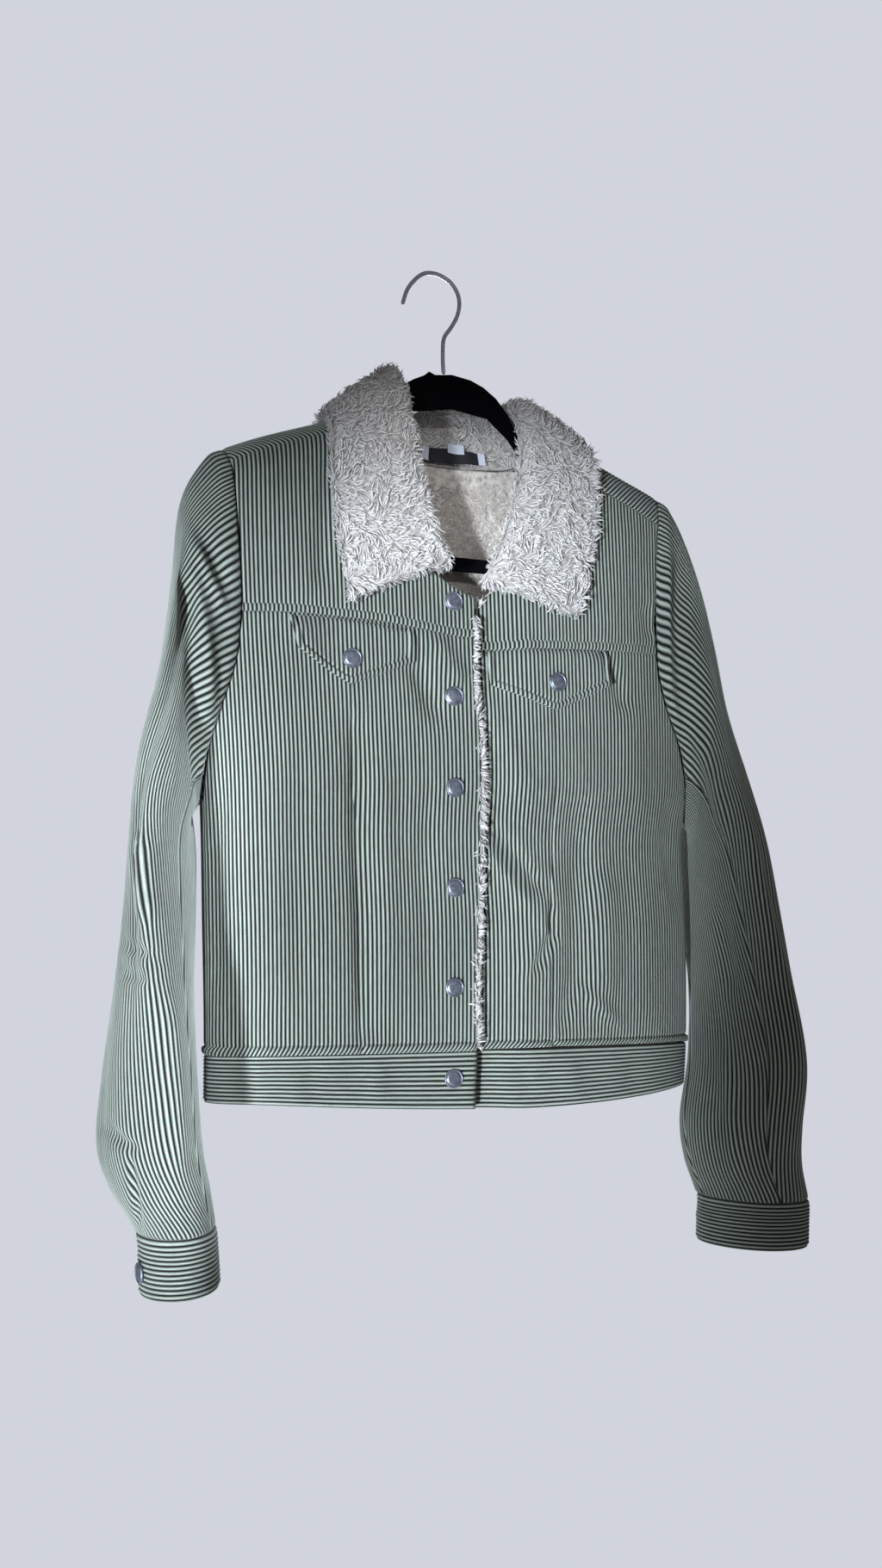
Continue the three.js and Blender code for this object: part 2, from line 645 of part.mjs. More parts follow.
// A cuff laps over its own end, which lies a wall further in
function cuffWall(side) {
  const from = CUFF_LAP[side];
  const [top, bottom] = [CUFF_ROW + CUFF_SEAM, SLEEVES[side].length - 1];
  const layer = (lift) => grid(26, 2, (u, v) => {
    const tuck = -(BAND_CLOTH + LAYER) * (1 - smooth(u * 5));
    const angle = radians(from + u * (360 + CUFF_LAP_ARC));
    return ringPoint(side, mix(top, bottom, v), angle, lift + tuck);
  });
  return wallGeometry(layer(CUFF_LIFT), layer(CUFF_LIFT - BAND_CLOTH));
}

// The neckline where the collar's stand is sewn, in the middle of the shell and lining
function neckPoint(station) {
  const places = [...COLLAR_NECK.right, ...COLLAR_NECK.back, ...COLLAR_NECK.left].map((value) => [value]);
  const lift = -COLLAR_WALL / 2;
  const wing = (side, z) => bodyPoint(FRONTS[side], ...chart(sampleRows(NECKLINE[side], z, 1)[0], z), lift);
  const nape = (x) => bodyPoint(FACES.back, ...xPlace(x, sampleRows(BACK_NECK, x, 0)[1]), lift);
  const at = (i) => {
    if (i < COLLAR_NECK.right.length) return wing('right', places[i][0]);
    if (i < COLLAR.length - COLLAR_NECK.left.length) return nape(places[i][0]);
    return wing('left', places[i][0]);
  };
  const rows = places.map((_, i) => at(i).toArray());
  return new THREE.Vector3(...sampleRows(rows, THREE.MathUtils.clamp(station, 0, COLLAR.length - 1)));
}

// Collar: a sheet from the neckline, where it is thinner, up over its fold to the outer edge
function collarPoint(station, share) {
  const at = (s) => sampleRows(COLLAR, THREE.MathUtils.clamp(s, 0, COLLAR.length - 1));
  const row = at(station);
  const fold = new THREE.Vector3(...row.slice(0, 3));
  const edge = bodyPoint(FACES.back, ...xPlace(row[3], row[4]), COLLAR_REST);
  const neck = neckPoint(station);
  neck.addScaledVector(fold.clone().sub(neck).normalize(), COLLAR_SEAM);
  const [before, after] = [at(station - 0.5), at(station + 0.5)];
  const way = new THREE.Vector3(...after.slice(0, 3)).sub(new THREE.Vector3(...before.slice(0, 3)));
  way.normalize();
  const fall = edge.clone().sub(fold);
  const up = way.cross(fall).normalize();
  const lift = COLLAR_LIFT;
  const stand = neck.distanceTo(fold);
  const points = [
    neck,
    fold.clone().lerp(neck, Math.min(7 / stand, 0.5)),
    fold.clone().addScaledVector(fall.clone().normalize(), -2.5).addScaledVector(up, lift / 2),
    fold.clone().addScaledVector(fall.clone().normalize(), 5).addScaledVector(up, lift),
    fold.clone().lerp(edge, 0.5).addScaledVector(up, lift * 0.8),
    edge,
  ].map((p) => p.toArray());
  const keys = [0, 0.26, 0.4, 0.54, 0.78, 1];
  const rows = points.map((p, i) => [...p, keys[i]]);
  return new THREE.Vector3(...sampleRows(rows, share, 3).slice(0, 3));
}

function collarSheet(stations, shares, steps, lifts) {
  const surface = (u, v) => collarPoint(mix(stations[0], stations[1], u), mix(shares[0], shares[1], v));
  const layer = (lift) => grid(...steps, (u, v) => {
    const e = 0.01;
    const [a, b] = [surface(Math.min(u + e, 1), v), surface(Math.max(u - e, 0), v)];
    const [c, d] = [surface(u, Math.min(v + e, 1)), surface(u, Math.max(v - e, 0))];
    const normal = a.sub(b).cross(c.sub(d)).normalize();
    const taper = 0.5 + 0.5 * smooth(4 * mix(shares[0], shares[1], v));
    return surface(u, v).addScaledVector(normal, lift * taper);
  });
  return wallGeometry(layer(lifts[0]), layer(lifts[1]));
}

// Snaps
function snapGeometry() {
  const profile = [[0, 0], [SNAP_RADIUS, 0], [SNAP_RADIUS, 1.4], [SNAP_RADIUS - 1.6, SNAP_RISE - 0.5],
    [SNAP_RADIUS - 3.4, SNAP_RISE - 1], [0, SNAP_RISE]];
  return new THREE.LatheGeometry(profile.map(([r, h]) => new THREE.Vector2(r, h)), 12);
}

// A snap's foot stands clear of the cloth's highest point under it
const FORWARD = new THREE.Vector3(0, -1, 0);
function placeSnap(mesh, surface, outward = FORWARD) {
  const places = [[0, 0], [1, 0], [-1, 0], [0, 1], [0, -1]];
  const [middle, a, b, c, d] = places.map((place) => surface(...place));
  const normal = a.clone().sub(b).cross(c.clone().sub(d)).normalize();
  if (normal.dot(outward) < 0) normal.negate();
  const high = Math.max(...[a, b, c, d].map((p) => p.clone().sub(middle).dot(normal)), 0);
  mesh.position.copy(middle).addScaledVector(normal, high + SEAM);
  mesh.quaternion.setFromUnitVectors(new THREE.Vector3(0, 1, 0), normal);
  return mesh;
}

// Hanger and hook
function hangerGeometry() {
  const armTop = (x) => [x, ridgeZ(x) - HANGER_DROP];
  const armUnder = (x) => [x, ridgeZ(x) - HANGER_DROP - HANGER_BAND];
  const steps = 6;
  const share = (_, i) => i / steps;
  const shares = Array.from({ length: steps + 1 }, share);
  const arm = ([from, to]) => shares.map((t) => armTop(mix(from, to, t)));
  const top = [...arm(HANGER_ARMS.right), ...ARCH, ...arm(HANGER_ARMS.left)];
  const outline = [...top, ...HANGER_ENDS];
  const gap = [armUnder(-146), armUnder(-100), ...ARCH_UNDER, armUnder(108), armUnder(150), ...BAR_TOP];
  const toPoint = ([x, z]) => new THREE.Vector2(x, z);
  const shape = new THREE.Shape(outline.reverse().map(toPoint));
  shape.holes.push(new THREE.Path(gap.map(toPoint)));
  const geometry = new THREE.ExtrudeGeometry(shape, { depth: HANGER_WALL, bevelEnabled: false });
  geometry.translate(0, 0, -HANGER_WALL / 2);
  return geometry.rotateX(Math.PI / 2);
}

function hookGeometry() {
  const route = new THREE.CatmullRomCurve3(HOOK_ROUTE.map(([x, z]) => new THREE.Vector3(x, 0, z)));
  const section = new THREE.Shape();
  section.absarc(0, 0, WIRE_RADIUS, 0, 2 * Math.PI);
  const options = { steps: 28, extrudePath: route, curveSegments: 4, bevelEnabled: false };
  return new THREE.ExtrudeGeometry(section, options);
}

// The part
const group = new THREE.Group();
const stem = new THREE.Group();
stem.position.x = STEM_X;
group.add(stem);

function add(name, geometry, kind) {
  const [color, roughness, metalness] = COLOURS[kind];
  const mesh = new THREE.Mesh(geometry, new THREE.MeshStandardMaterial({ color, roughness, metalness }));
  mesh.name = name;
  stem.add(mesh);
  return mesh;
}

for (const side of ['right', 'left']) {
  const face = FRONTS[side];
  add(`${side}_front_yoke`, patch(face, yokeEdges(side), [12, 8], 0, CLOTH), 'corduroy');
  add(`${side}_front_centre`, patch(face, centreEdges(side), [7, 14], 0, CLOTH), 'corduroy');
  add(`${side}_front_side`, patch(face, sideEdges(side), [9, 16], 0, CLOTH), 'corduroy');
  const lining = patch(LINING_FACES[side], frontEdges(side), [12, 9], -LINING_DEPTH, SHERPA);
  add(`${side}_front_lining`, lining, 'sherpa');
  const flap = FLAPS[side];
  const edges = {
    top: seamLine(flap.top, 0),
    bottom: seamLine(flap.bottom, 0),
    left: seamLine(flap.left, 1),
    right: seamLine(flap.right, 1),
  };
  const curl = (u, v) => (side === 'right' ? FLAP_CURL * (1 - smooth(u * 3)) * smooth(v * 2) : 0);
  const standOff = (u, v) => FLAP_LIFT + curl(u, v);
  add(`${side}_pocket_flap`, patch(face, edges, [7, 4], standOff, CLOTH), 'corduroy');
}
add('back', patch(FACES.back, backEdges(), [BACK_COLUMNS, 16], 0, CLOTH, BACK_CROWDING), 'corduroy');
const backLining = patch(
  LINING_FACES.back,
  backEdges(LINING_NECK),
  [BACK_COLUMNS, 12],
  -LINING_DEPTH - 0.6,
  SHERPA,
  BACK_CROWDING,
);
add('back_lining', backLining, 'lining');

const bandTurn = (x) => chart(x, WAIST_SEAM_Z)[0];
const BANDS = {
  right_front: [FACES.over, -SIDE, bandTurn(BAND_EDGE_X), 12],
  left_front: [FACES.under, bandTurn(UNDER_EDGE_X), SIDE, 12],
  back: [FACES.back, -SIDE, SIDE, 20],
};
for (const [name, [face, from, to, steps]] of Object.entries(BANDS)) {
  add(`waistband_${name}`, patch(face, bandEdges(from, to), [steps, 2], 0, BAND_CLOTH), 'corduroy');
}

for (const side of ['right', 'left']) {
  const last = CUFF_ROW - CUFF_SEAM;
  const [a, b] = UNDER_SLEEVE_ARC[side];
  const upper = [b - 360 + SLEEVE_SEAM_ARC, a - SLEEVE_SEAM_ARC];
  const under = [a + SLEEVE_SEAM_ARC, b - SLEEVE_SEAM_ARC];
  add(`${side}_upper_sleeve`, sleeveWall(side, [0, last], upper, [14, 18], CLOTH), 'corduroy');
  add(`${side}_under_sleeve`, sleeveWall(side, [0, last], under, [4, 18], CLOTH), 'corduroy');
  add(`${side}_cuff`, cuffWall(side), 'corduroy');
}

const half = COLLAR_WALL / 2;
add('collar', collarSheet([0, COLLAR.length - 1], [0, 1], [38, 10], [half, -half]), 'sherpa');
const label = collarSheet([7.25, 9.1], [0.006, 0.1], [5, 1], [half + 1.6, half + 0.6]);
add('neck_label', label, 'label');

const snapOn = (face, x, z, lift) => (i, k) => {
  const place = chart(x + i * SNAP_RADIUS, z + k * SNAP_RADIUS);
  return bodyPoint(face, ...place, lift);
};
const snapOnCuff = (side, row, angle) => (i, k) => {
  const at = row + (k * SNAP_RADIUS) / CUFF_ROW_HEIGHT;
  return ringPoint(side, at, radians(angle + i * CUFF_SNAP_ARC), CUFF_LIFT);
};
FRONT_SNAPS_Z.forEach((z, i) => {
  placeSnap(add(`front_snap_${i + 1}`, snapGeometry(), 'snap'), snapOn(FACES.over, FRONT_SNAP_X, z, 0));
});
for (const side of ['right', 'left']) {
  const mesh = add(`${side}_flap_snap`, snapGeometry(), 'snap');
  placeSnap(mesh, snapOn(FRONTS[side], ...FLAP_SNAPS[side], FLAP_LIFT));
  const [row, angle] = CUFF_SNAPS[side];
  const [near, far] = [angle, angle + 180].map((at) => ringPoint(side, row, radians(at), 0));
  const outward = near.sub(far);
  placeSnap(add(`${side}_cuff_snap`, snapGeometry(), 'snap'), snapOnCuff(side, row, angle), outward);
}

add('hanger', hangerGeometry(), 'hanger');
add('hook', hookGeometry(), 'wire');

export default group;
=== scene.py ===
"""Sherpa lined corduroy jacket on a plain hanger, seen hanging from a rail."""

import math
from functools import reduce

import bmesh
import bpy
import numpy as np
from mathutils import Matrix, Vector


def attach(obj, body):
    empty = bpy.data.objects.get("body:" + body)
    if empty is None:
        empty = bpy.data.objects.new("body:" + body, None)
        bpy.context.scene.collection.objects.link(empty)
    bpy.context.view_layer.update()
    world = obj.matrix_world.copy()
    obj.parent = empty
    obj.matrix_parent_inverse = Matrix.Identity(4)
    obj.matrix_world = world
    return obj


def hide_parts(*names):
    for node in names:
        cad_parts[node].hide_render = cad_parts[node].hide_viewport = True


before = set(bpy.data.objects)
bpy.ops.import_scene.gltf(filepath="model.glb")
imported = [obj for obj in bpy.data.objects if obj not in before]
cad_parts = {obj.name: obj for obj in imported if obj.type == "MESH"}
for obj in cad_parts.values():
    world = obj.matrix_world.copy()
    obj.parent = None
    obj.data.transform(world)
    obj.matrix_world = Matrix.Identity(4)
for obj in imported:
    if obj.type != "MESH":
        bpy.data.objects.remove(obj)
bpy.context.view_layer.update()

# Sizes in millimetres. Tables count x from the hanger's stem, which STEM moves
MM = 0.001
STEM = np.array([8.5, 0.0, 0.0])
BODY_HALF_WIDTH = 200
RIDGE_ROUND = 28.0
BOXINESS = 2.7
WAIST_SEAM_Z = -612.0
UNDERARM_Z = -425.0
BODY_MIDDLE = np.array([10.0, 0.0, -380.0])
WALE = 3.3
WALE_DEPTH = 1.15
WALE_STEPS = 4
ROW_STEP = 4.0
SHOULDER_SLANT = 0.8
SEAM_DEPTH = 0.9
SEAM_WIDTH = 1.4
CORD_AT_SEAM = 0.2
CREASE_STRENGTH = 2.1
DEEPEST_CREASE = 5.4
WAVES_OF_PANELS = 0.5
WAVES_OF_SLEEVES = 0.9
TUCK_HEIGHT = 6.5
YOKE_SLIP = 1.5
WELT_HEIGHT = 7.0
WELT_RISE = 1.9
BACK_SLIP = 42
FLAP_LIFT = 4.4
FLAP_CURL = {"right": 7.0, "left": 4.0}
FLAP_STITCH_LINE = 5.0
PANEL_TURN_IN = 2.4
FLAP_TURN_IN = 2.0
SLEEVE_TURN_IN = 2.2
LINING_TURN_IN = 2.0
LINING_DEPTH = 5.4
FRONT_LINING_GAP = 4.0
BAND_CLOTH = 3.6
BAND_RISE = 0.4
CUFF_ROW = 12
CUFF_HEIGHT = 41.0
CUFF_LIFT = 0.6
CAP_ROWS = 6.2
CAP_SLANT = 45.0
CAP_SLANT_WIDTH = 60
SLEEVE_GAP = 0.4
COLLAR_WALL = 7.0
COLLAR_LIFT = 8.2
COLLAR_SEAM = 3.0
BACK_LINING_GROWTH = 1.05
UNDER_STEP = 10.4
UNDER_START_X = 22.0
UNDER_END_X = 62.0
UNDER_EDGE_X = -24.0
SNAP_RADIUS = 7.5
SNAP_CLEARANCE = 0.35
WIRE_RADIUS = 1.6

# In metres: points this close become one, and edges this short go
MERGE = 2e-5
SLIVER = 1e-6

# Steps to either side of a place, to find which way its surface faces
TURN_STEP = 0.003
REACH_STEP = 0.5
COLLAR_STEP = 0.01

# Photograph's camera
PHOTO_FOCAL = 1609.0
PHOTO_CENTRE = (512.0, 1090.0)
PHOTO_HEIGHT = 1821.0
EYE = np.array([-369.6, -1033.0, -525.0])
YAW = math.radians(20)

BODY_RINGS = [
    # z, left edge x, right edge x, front depth, back depth
    [-90, -204, 212, 30, 27], [-200, -203, 213, 33, 30], [-300, -200, 215, 36, 33],
    [-400, -194, 214.5, 38, 35], [-450, -192, 209, 38, 36], [-520, -191, 214, 38, 36],
    [-610, -190, 215, 36, 35], [-660, -190, 212, 35, 34],
]
RIDGE = [
    # x, z
    [-215, -178], [-182, -161], [-135, -141.5], [-92, -127], [-50, -114], [10, -104],
    [60, -111], [115, -130.5], [154, -145.5], [184, -157], [222, -176],
]
ARMHOLES = {
    "right": [
        # z, x
        [-425, -193], [-405, -192], [-385, -189.5], [-364, -184.5], [-341, -177],
        [-323, -171.5], [-306, -168.5], [-272, -166.5], [-221, -169], [-178, -173], [-160, -178],
    ],
    "left": [
        # z, x
        [-425, 212.4], [-408, 211.5], [-394, 209.5], [-364, 200], [-341, 188.5],
        [-311, 179], [-288, 176.5], [-223, 177], [-178, 181], [-157.5, 185],
    ],
}
YOKE = {
    "right": [[-172, -284], [-131, -283], [-96, -284], [-60, -285.5], [-30, -289], [-5, -292], [22, -292]],
    "left": [[-26, -299], [18, -299], [62, -296.5], [124, -293.5], [182, -291.5]],
}
PANEL = {
    "right": [[-85, -270], [-85, -406], [-81.5, -430], [-80, -506], [-77, -612]],
    "left": [[79.5, -270], [79.5, -430], [77, -505], [80.5, -612]],
}
OVERLAP_EDGE = [
    # x, z
    [13, -256], [12.3, -293], [11.8, -333], [16.5, -366], [18, -412], [16.5, -465],
    [15, -518], [13.4, -558], [15, -612], [15, -657],
]
NECKLINE = {
    "right": [[-78, -124], [-74, -150], [-65, -180], [-51, -208], [-35, -232], [-10, -251], [13, -262]],
    "left": [
        [UNDER_EDGE_X, -266], [8, -266], [25, -258], [46, -239], [64, -214], [78, -186],
        [86, -156], [90, -124],
    ],
}
HEM = [
    # x, z
    [-192, -647], [-156, -648], [-90, -652], [-35, -655], [16, -657], [65, -658],
    [125, -656], [172, -652], [216, -646],
]
SHOULDER_SEAM_REACH = {"right": 29, "left": 45}
NECK_X = {"right": -80, "left": 92.4}
BACK_NECK = [
    # x, reach
    [-80, -29], [-79.6, -14], [-79, 0], [-77, 13], [-72, 26], [-60, 39], [-38, 48],
    [-12, 54], [14, 57], [40, 53], [60, 46.5], [75, 38], [86, 24], [90, 11], [91, -4],
    [91.6, -18], [92, -32], [92.4, -45],
]
FRONT_FOLDS = [
    # x1, z1, x2, z2, half width, rise
    [-80, -370, -74, -590, 13, -3], [100, -430, 98, -585, 16, -3], [40, -445, 72, -500, 12, 3],
    [74, -520, 60, -545, 12, 2.5], [-38, -320, -20, -352, 14, -2.5],
    [-140, -330, -150, -560, 18, 3], [150, -350, 168, -580, 16, 3],
    [-150, -180, -120, -262, 16, 2.5], [150, -200, 128, -270, 16, 2.5],
]
BACK_FOLDS = [
    [-95, -330, -78, -590, 26, 3.5], [96, -330, 88, -590, 26, 3.5], [-40, -170, 50, -172, 18, 2.5],
]
SLEEVES = {
    "right": [
        # outer x, outer z, inner x, inner z, centre y, half depth, yaw
        [-178, -160, -193, -425, 0, 24, 0], [-194, -173, -197, -428, 0, 31, 2],
        [-209, -204, -200, -432, 0, 41, 6], [-215, -262, -201, -437, -1, 53, 10],
        [-222, -325, -201, -443, -2, 64, 14], [-235, -386, -201, -452, -4, 73, 17],
        [-242, -440, -201, -470, -7, 78, 18], [-249, -503, -201, -512, -14, 76, 16],
        [-259, -562, -203, -566, -24, 70, 12], [-269, -622, -203, -624, -35, 62, 8],
        [-274, -668, -201, -672, -44, 55, 6], [-266, -698, -196, -702, -48, 49, 5],
        [-248, -730, -192, -728, -50, 45, 5], [-246, -751, -190.5, -748, -51, 45, 5],
        [-245, -772, -189.5, -768, -52, 44, 5],
    ],
    "left": [
        [185, -157.5, 212.4, -425, 0, 24, 0], [202, -172, 217.5, -428, 0, 30, 2],
        [218, -208, 221.5, -432, -1, 40, 5], [229, -262, 223, -436, -3, 52, 8],
        [238, -322, 223, -442, -6, 64, 10], [252, -382, 223.5, -451, -10, 74, 10],
        [264, -440, 223, -466, -15, 78, 8], [270, -503, 222, -508, -26, 74, 3],
        [272, -562, 221, -566, -42, 64, -6], [265, -620, 207, -624, -67, 57, -18],
        [256, -668, 193, -672, -76, 52, -30], [256, -700, 195, -703, -77, 48, -36],
        [260, -729, 206, -731, -78, 45, -40], [260, -746, 206, -749, -78, 45, -40],
        [259, -764, 206, -768, -78, 45, -40],
    ],
}
SLEEVE_FOLDS = {
    "right": [
        # row 1, angle 1, row 2, angle 2, half width in degrees, rise
        [1.6, -72, 6.6, -62, 15, -9], [1.2, -30, 3.4, -95, 14, -3.5], [7.2, -40, 8.2, -75, 14, -3],
        [9.6, -20, 10.4, -80, 16, -3.5], [3, 70, 7, 60, 18, -5],
    ],
    "left": [
        [1.4, -60, 6.4, -78, 16, -5], [1.2, -88, 4.6, -100, 14, 3.5], [6.5, -95, 8, -50, 16, -3.5],
        [9.4, -60, 10.4, -20, 16, -3], [3, 70, 7, 60, 18, -5],
    ],
}
UNDER_SLEEVE_ARC = {"right": (128, 212), "left": (132, 222)}
CUFF_LAP = {"right": -38, "left": 52}
CUFF_LAP_ARC = 34
CUFF_SNAPS = {"right": (13.2, -22), "left": (13.2, 68)}
COLLAR_NECK = {
    "right": [-247, -222, -190, -158, -134],
    "back": [-75, -57, -20, 12, 42, 71, 86],
    "left": [-136, -164, -195, -215, -229],
}
COLLAR = [
    # fold x, y, z, outer edge x, outer edge reach
    [-15, -36, -240, -85, -161], [-25, -33, -210, -90, -132], [-35, -30, -176, -95, -97],
    [-38, -22, -140, -98, -57], [-41, -13, -108, -98, -24], [-42, 3, -88, -97, 8],
    [-31, 25, -89, -76, 46], [-10, 34, -93, -28, 78], [14, 36, -93, 15, 86],
    [38, 34, -97, 58, 74], [56, 24, -99, 92, 46], [61, 5, -99, 108, 8],
    [62, -13, -112, 112, -26], [61, -23, -146, 113, -62], [51, -30, -189, 110, -95],
    [39, -33, -221, 103, -131], [24, -36, -252, 97, -162],
]
FLAPS = {
    "right": {
        "top": [[-131, -285.5], [-85, -286.5], [-37, -292]],
        "bottom": [[-125.5, -311], [-88, -333.5], [-82, -333.5], [-35.5, -315]],
        "left": [[-131, -285.5], [-125.5, -311]],
        "right": [[-37, -292], [-35.5, -315]],
    },
    "left": {
        "top": [[24.5, -300.5], [80, -297], [124.5, -295]],
        "bottom": [[27.5, -327], [75.5, -344], [81.5, -344], [126, -322.5]],
        "left": [[24.5, -300.5], [27.5, -327]],
        "right": [[124.5, -295], [126, -322.5]],
    },
}
FRONT_SNAPS_Z = [-266, -339, -409.5, -486, -562.5, -632.5]
FRONT_SNAP_X = -5
FLAP_SNAPS = {"right": (-85, -316), "left": (79, -323.5)}
HOOK_ROUTE = [
    [0, -77.8], [-0.6, -66], [-0.4, -53], [1.2, -46.5], [6, -39.5], [11.2, -30], [13.4, -20],
    [11.8, -11], [6.2, -3.6], [-1.5, 0.4], [-8.5, 1.6], [-16.5, 0.2], [-24, -5.8], [-30.5, -15],
    [-34.6, -27.5],
]

# Creases seen in the photograph: places in its pixels, half width there and rise in millimetres
CREASES = [
    # Right sleeve
    ([(204, 612), (216, 680), (222, 760), (223, 900), (232, 955)], 8, -2.8),
    ([(214, 640), (233, 700), (240, 780), (240, 860)], 9, 2.5),
    ([(228, 604), (246, 640), (268, 690)], 8, -1.6),
    ([(222, 625), (240, 665), (262, 715)], 7, 2.5),
    ([(128, 1075), (150, 1100), (185, 1112)], 6, -2.2),
    ([(122, 1110), (150, 1132), (178, 1138)], 6, -1.8),
    ([(115, 1300), (140, 1325), (165, 1338)], 6, -2.5),
    ([(150, 1340), (156, 1385), (162, 1430)], 4, -2.5),
    ([(190, 1130), (200, 1250), (205, 1390)], 14, 2.5),
    ([(160, 960), (172, 1080)], 12, 2.0),
    # Left sleeve
    ([(774, 610), (774, 700), (778, 800), (790, 860)], 6, 2.5),
    ([(792, 640), (788, 730), (792, 800)], 8, -3.0),
    ([(836, 1050), (842, 1110), (852, 1160)], 8, -2.5),
    ([(800, 830), (830, 905), (850, 990)], 8, 2.2),
    ([(880, 1200), (884, 1280), (884, 1360)], 10, -2.0),
    ([(840, 1200), (850, 1300), (852, 1380)], 10, 2.0),
    # Left front
    ([(560, 945), (600, 995), (636, 1042)], 7, -2.8),
    ([(556, 975), (590, 1020), (622, 1062)], 9, 3.2),
    ([(640, 1046), (644, 1085), (628, 1118), (615, 1135)], 6, -3.0),
    ([(675, 950), (676, 1050), (672, 1140), (655, 1210)], 13, -3.2),
    ([(700, 1000), (705, 1100), (700, 1180)], 16, 2.2),
    ([(725, 1195), (675, 1150), (660, 1205)], 7, 1.6),
    ([(560, 800), (590, 860), (610, 930)], 14, 1.8),
    ([(700, 760), (716, 790), (730, 830)], 9, -2.2),
    ([(748, 700), (758, 740)], 9, -1.6),
    ([(785, 920), (775, 980), (790, 1060)], 9, -2.0),
    # Right front
    ([(412, 850), (418, 1000), (424, 1205)], 9, -2.6),
    ([(440, 860), (448, 1000), (452, 1150)], 14, 1.6),
    ([(480, 765), (496, 800), (512, 832)], 10, -2.8),
    ([(500, 735), (520, 770), (540, 800)], 11, 2.0),
    ([(384, 520), (378, 600), (372, 690)], 10, -2.0),
    ([(300, 760), (285, 900), (282, 1100)], 20, 1.8),
    ([(262, 880), (252, 1000), (252, 1180)], 10, -1.6),
    ([(500, 900), (492, 1020), (500, 1180)], 12, -1.3),
    ([(350, 860), (345, 1000), (350, 1180)], 16, -1.2),
    # Waistband
    ([(300, 1228), (303, 1280)], 12, 1.3),
    ([(360, 1228), (362, 1284)], 10, -1.3),
    ([(440, 1228), (438, 1284)], 12, 1.2),
    ([(610, 1228), (613, 1284)], 11, -1.4),
    ([(660, 1222), (662, 1280)], 12, 1.2),
    ([(735, 1215), (738, 1275)], 11, -1.2),
]


# Curves
def slopes_of(values, keys):
    """The slope of each value from its neighbours."""
    last = len(keys) - 1
    number = np.arange(last + 1)
    before, after = np.maximum(number - 1, 0), np.minimum(number + 1, last)
    return (values[..., after, :] - values[..., before, :]) / (keys[after] - keys[before])[:, None]


def span_at(keys, at):
    """The span between keys that a place lies in: its number, its length and the share passed."""
    i = np.clip(np.searchsorted(keys, at, side="right") - 1, 0, len(keys) - 2)
    span = (keys[i + 1] - keys[i])[..., None]
    return i, span, np.clip((at - keys[i])[..., None] / span, 0, 1)


def between(values, slopes, span, t):
    """A smooth value between two, by their slopes."""
    t2, t3 = t * t, t * t * t
    return (
        (2 * t3 - 3 * t2 + 1) * values[0]
        + (t3 - 2 * t2 + t) * slopes[0] * span
        + (3 * t2 - 2 * t3) * values[1]
        + (t3 - t2) * slopes[1] * span
    )


def sample(rows, at, key=None):
    """A smooth value between rows, keyed by one column or by the row's number."""
    rows = np.asarray(rows, float)
    keys = np.arange(len(rows), dtype=float) if key is None else rows[:, key]
    if keys[-1] < keys[0]:
        rows, keys = rows[::-1], keys[::-1]
    slopes = slopes_of(rows, keys)
    i, span, t = span_at(keys, np.asarray(at, float))
    return between((rows[i], rows[i + 1]), (slopes[i], slopes[i + 1]), span, t)


def smooth(t):
    t = np.clip(t, 0, 1)
    return t * t * (3 - 2 * t)


def mix(a, b, t):
    return a + (b - a) * t


def unit(v):
    return v / np.maximum(np.linalg.norm(v, axis=-1, keepdims=True), 1e-9)


def nearest(*distances):
    return reduce(np.minimum, distances)


def hump(distance, width):
    return np.exp(-((distance / width) ** 2))


def ridge_z(x):
    return sample(RIDGE, x, 0)[..., 1]


def armhole_x(side, z):
    return sample(ARMHOLES[side], z, 0)[..., 1]


def fold_rise(folds, a, b, aspect=1.0):
    """How far folds, each along a line, raise a place."""
    rise = np.zeros(np.broadcast(a, b).shape)
    for a1, b1, a2, b2, half_width, height in folds:
        da, db = (a2 - a1) * aspect, b2 - b1
        pa, pb = (a - a1) * aspect, b - b1
        length = math.hypot(da, db)
        along = (pa * da + pb * db) / length
        across = (pa * db - pb * da) / length
        past = np.maximum(np.maximum(-along, along - length), 0)
        rise = rise + height * hump(across, half_width) * hump(past, half_width)
    return rise


# Body surface: a face, a turn from its middle and a reach down from the shoulder ridge
def drop_at(reach):
    """How far below the ridge a reach over the rounded shoulder comes."""
    bend = np.minimum(np.abs(reach) / RIDGE_ROUND, math.pi / 2)
    straight = np.maximum(np.abs(reach) - RIDGE_ROUND * math.pi / 2, 0)
    return RIDGE_ROUND * (1 - np.cos(bend)) + straight


def under_step(x):
    """How far the under front lies behind the over front."""
    return UNDER_STEP * smooth((UNDER_END_X - x) / (UNDER_END_X - UNDER_START_X))


FACES = {
    "over": {"dir": -1, "under": False, "folds": FRONT_FOLDS},
    "under": {"dir": -1, "under": True, "folds": FRONT_FOLDS},
    "back": {"dir": 1, "under": False, "folds": BACK_FOLDS},
    "over_lining": {"dir": -1, "under": False, "folds": []},
    "under_lining": {"dir": -1, "under": True, "folds": []},
    "back_lining": {"dir": 1, "under": False, "folds": []},
}
FRONTS = {"right": "over", "left": "under"}


def ring_at(u, z_at):
    """The ring and x of a place at a share u of the half width, its height a function of its x."""
    x = BODY_HALF_WIDTH * u
    for _ in range(4):
        ring = sample(BODY_RINGS, z_at(x), 0)
        x = (ring[..., 1] + ring[..., 2]) / 2 + (ring[..., 2] - ring[..., 1]) / 2 * u
    return ring, x


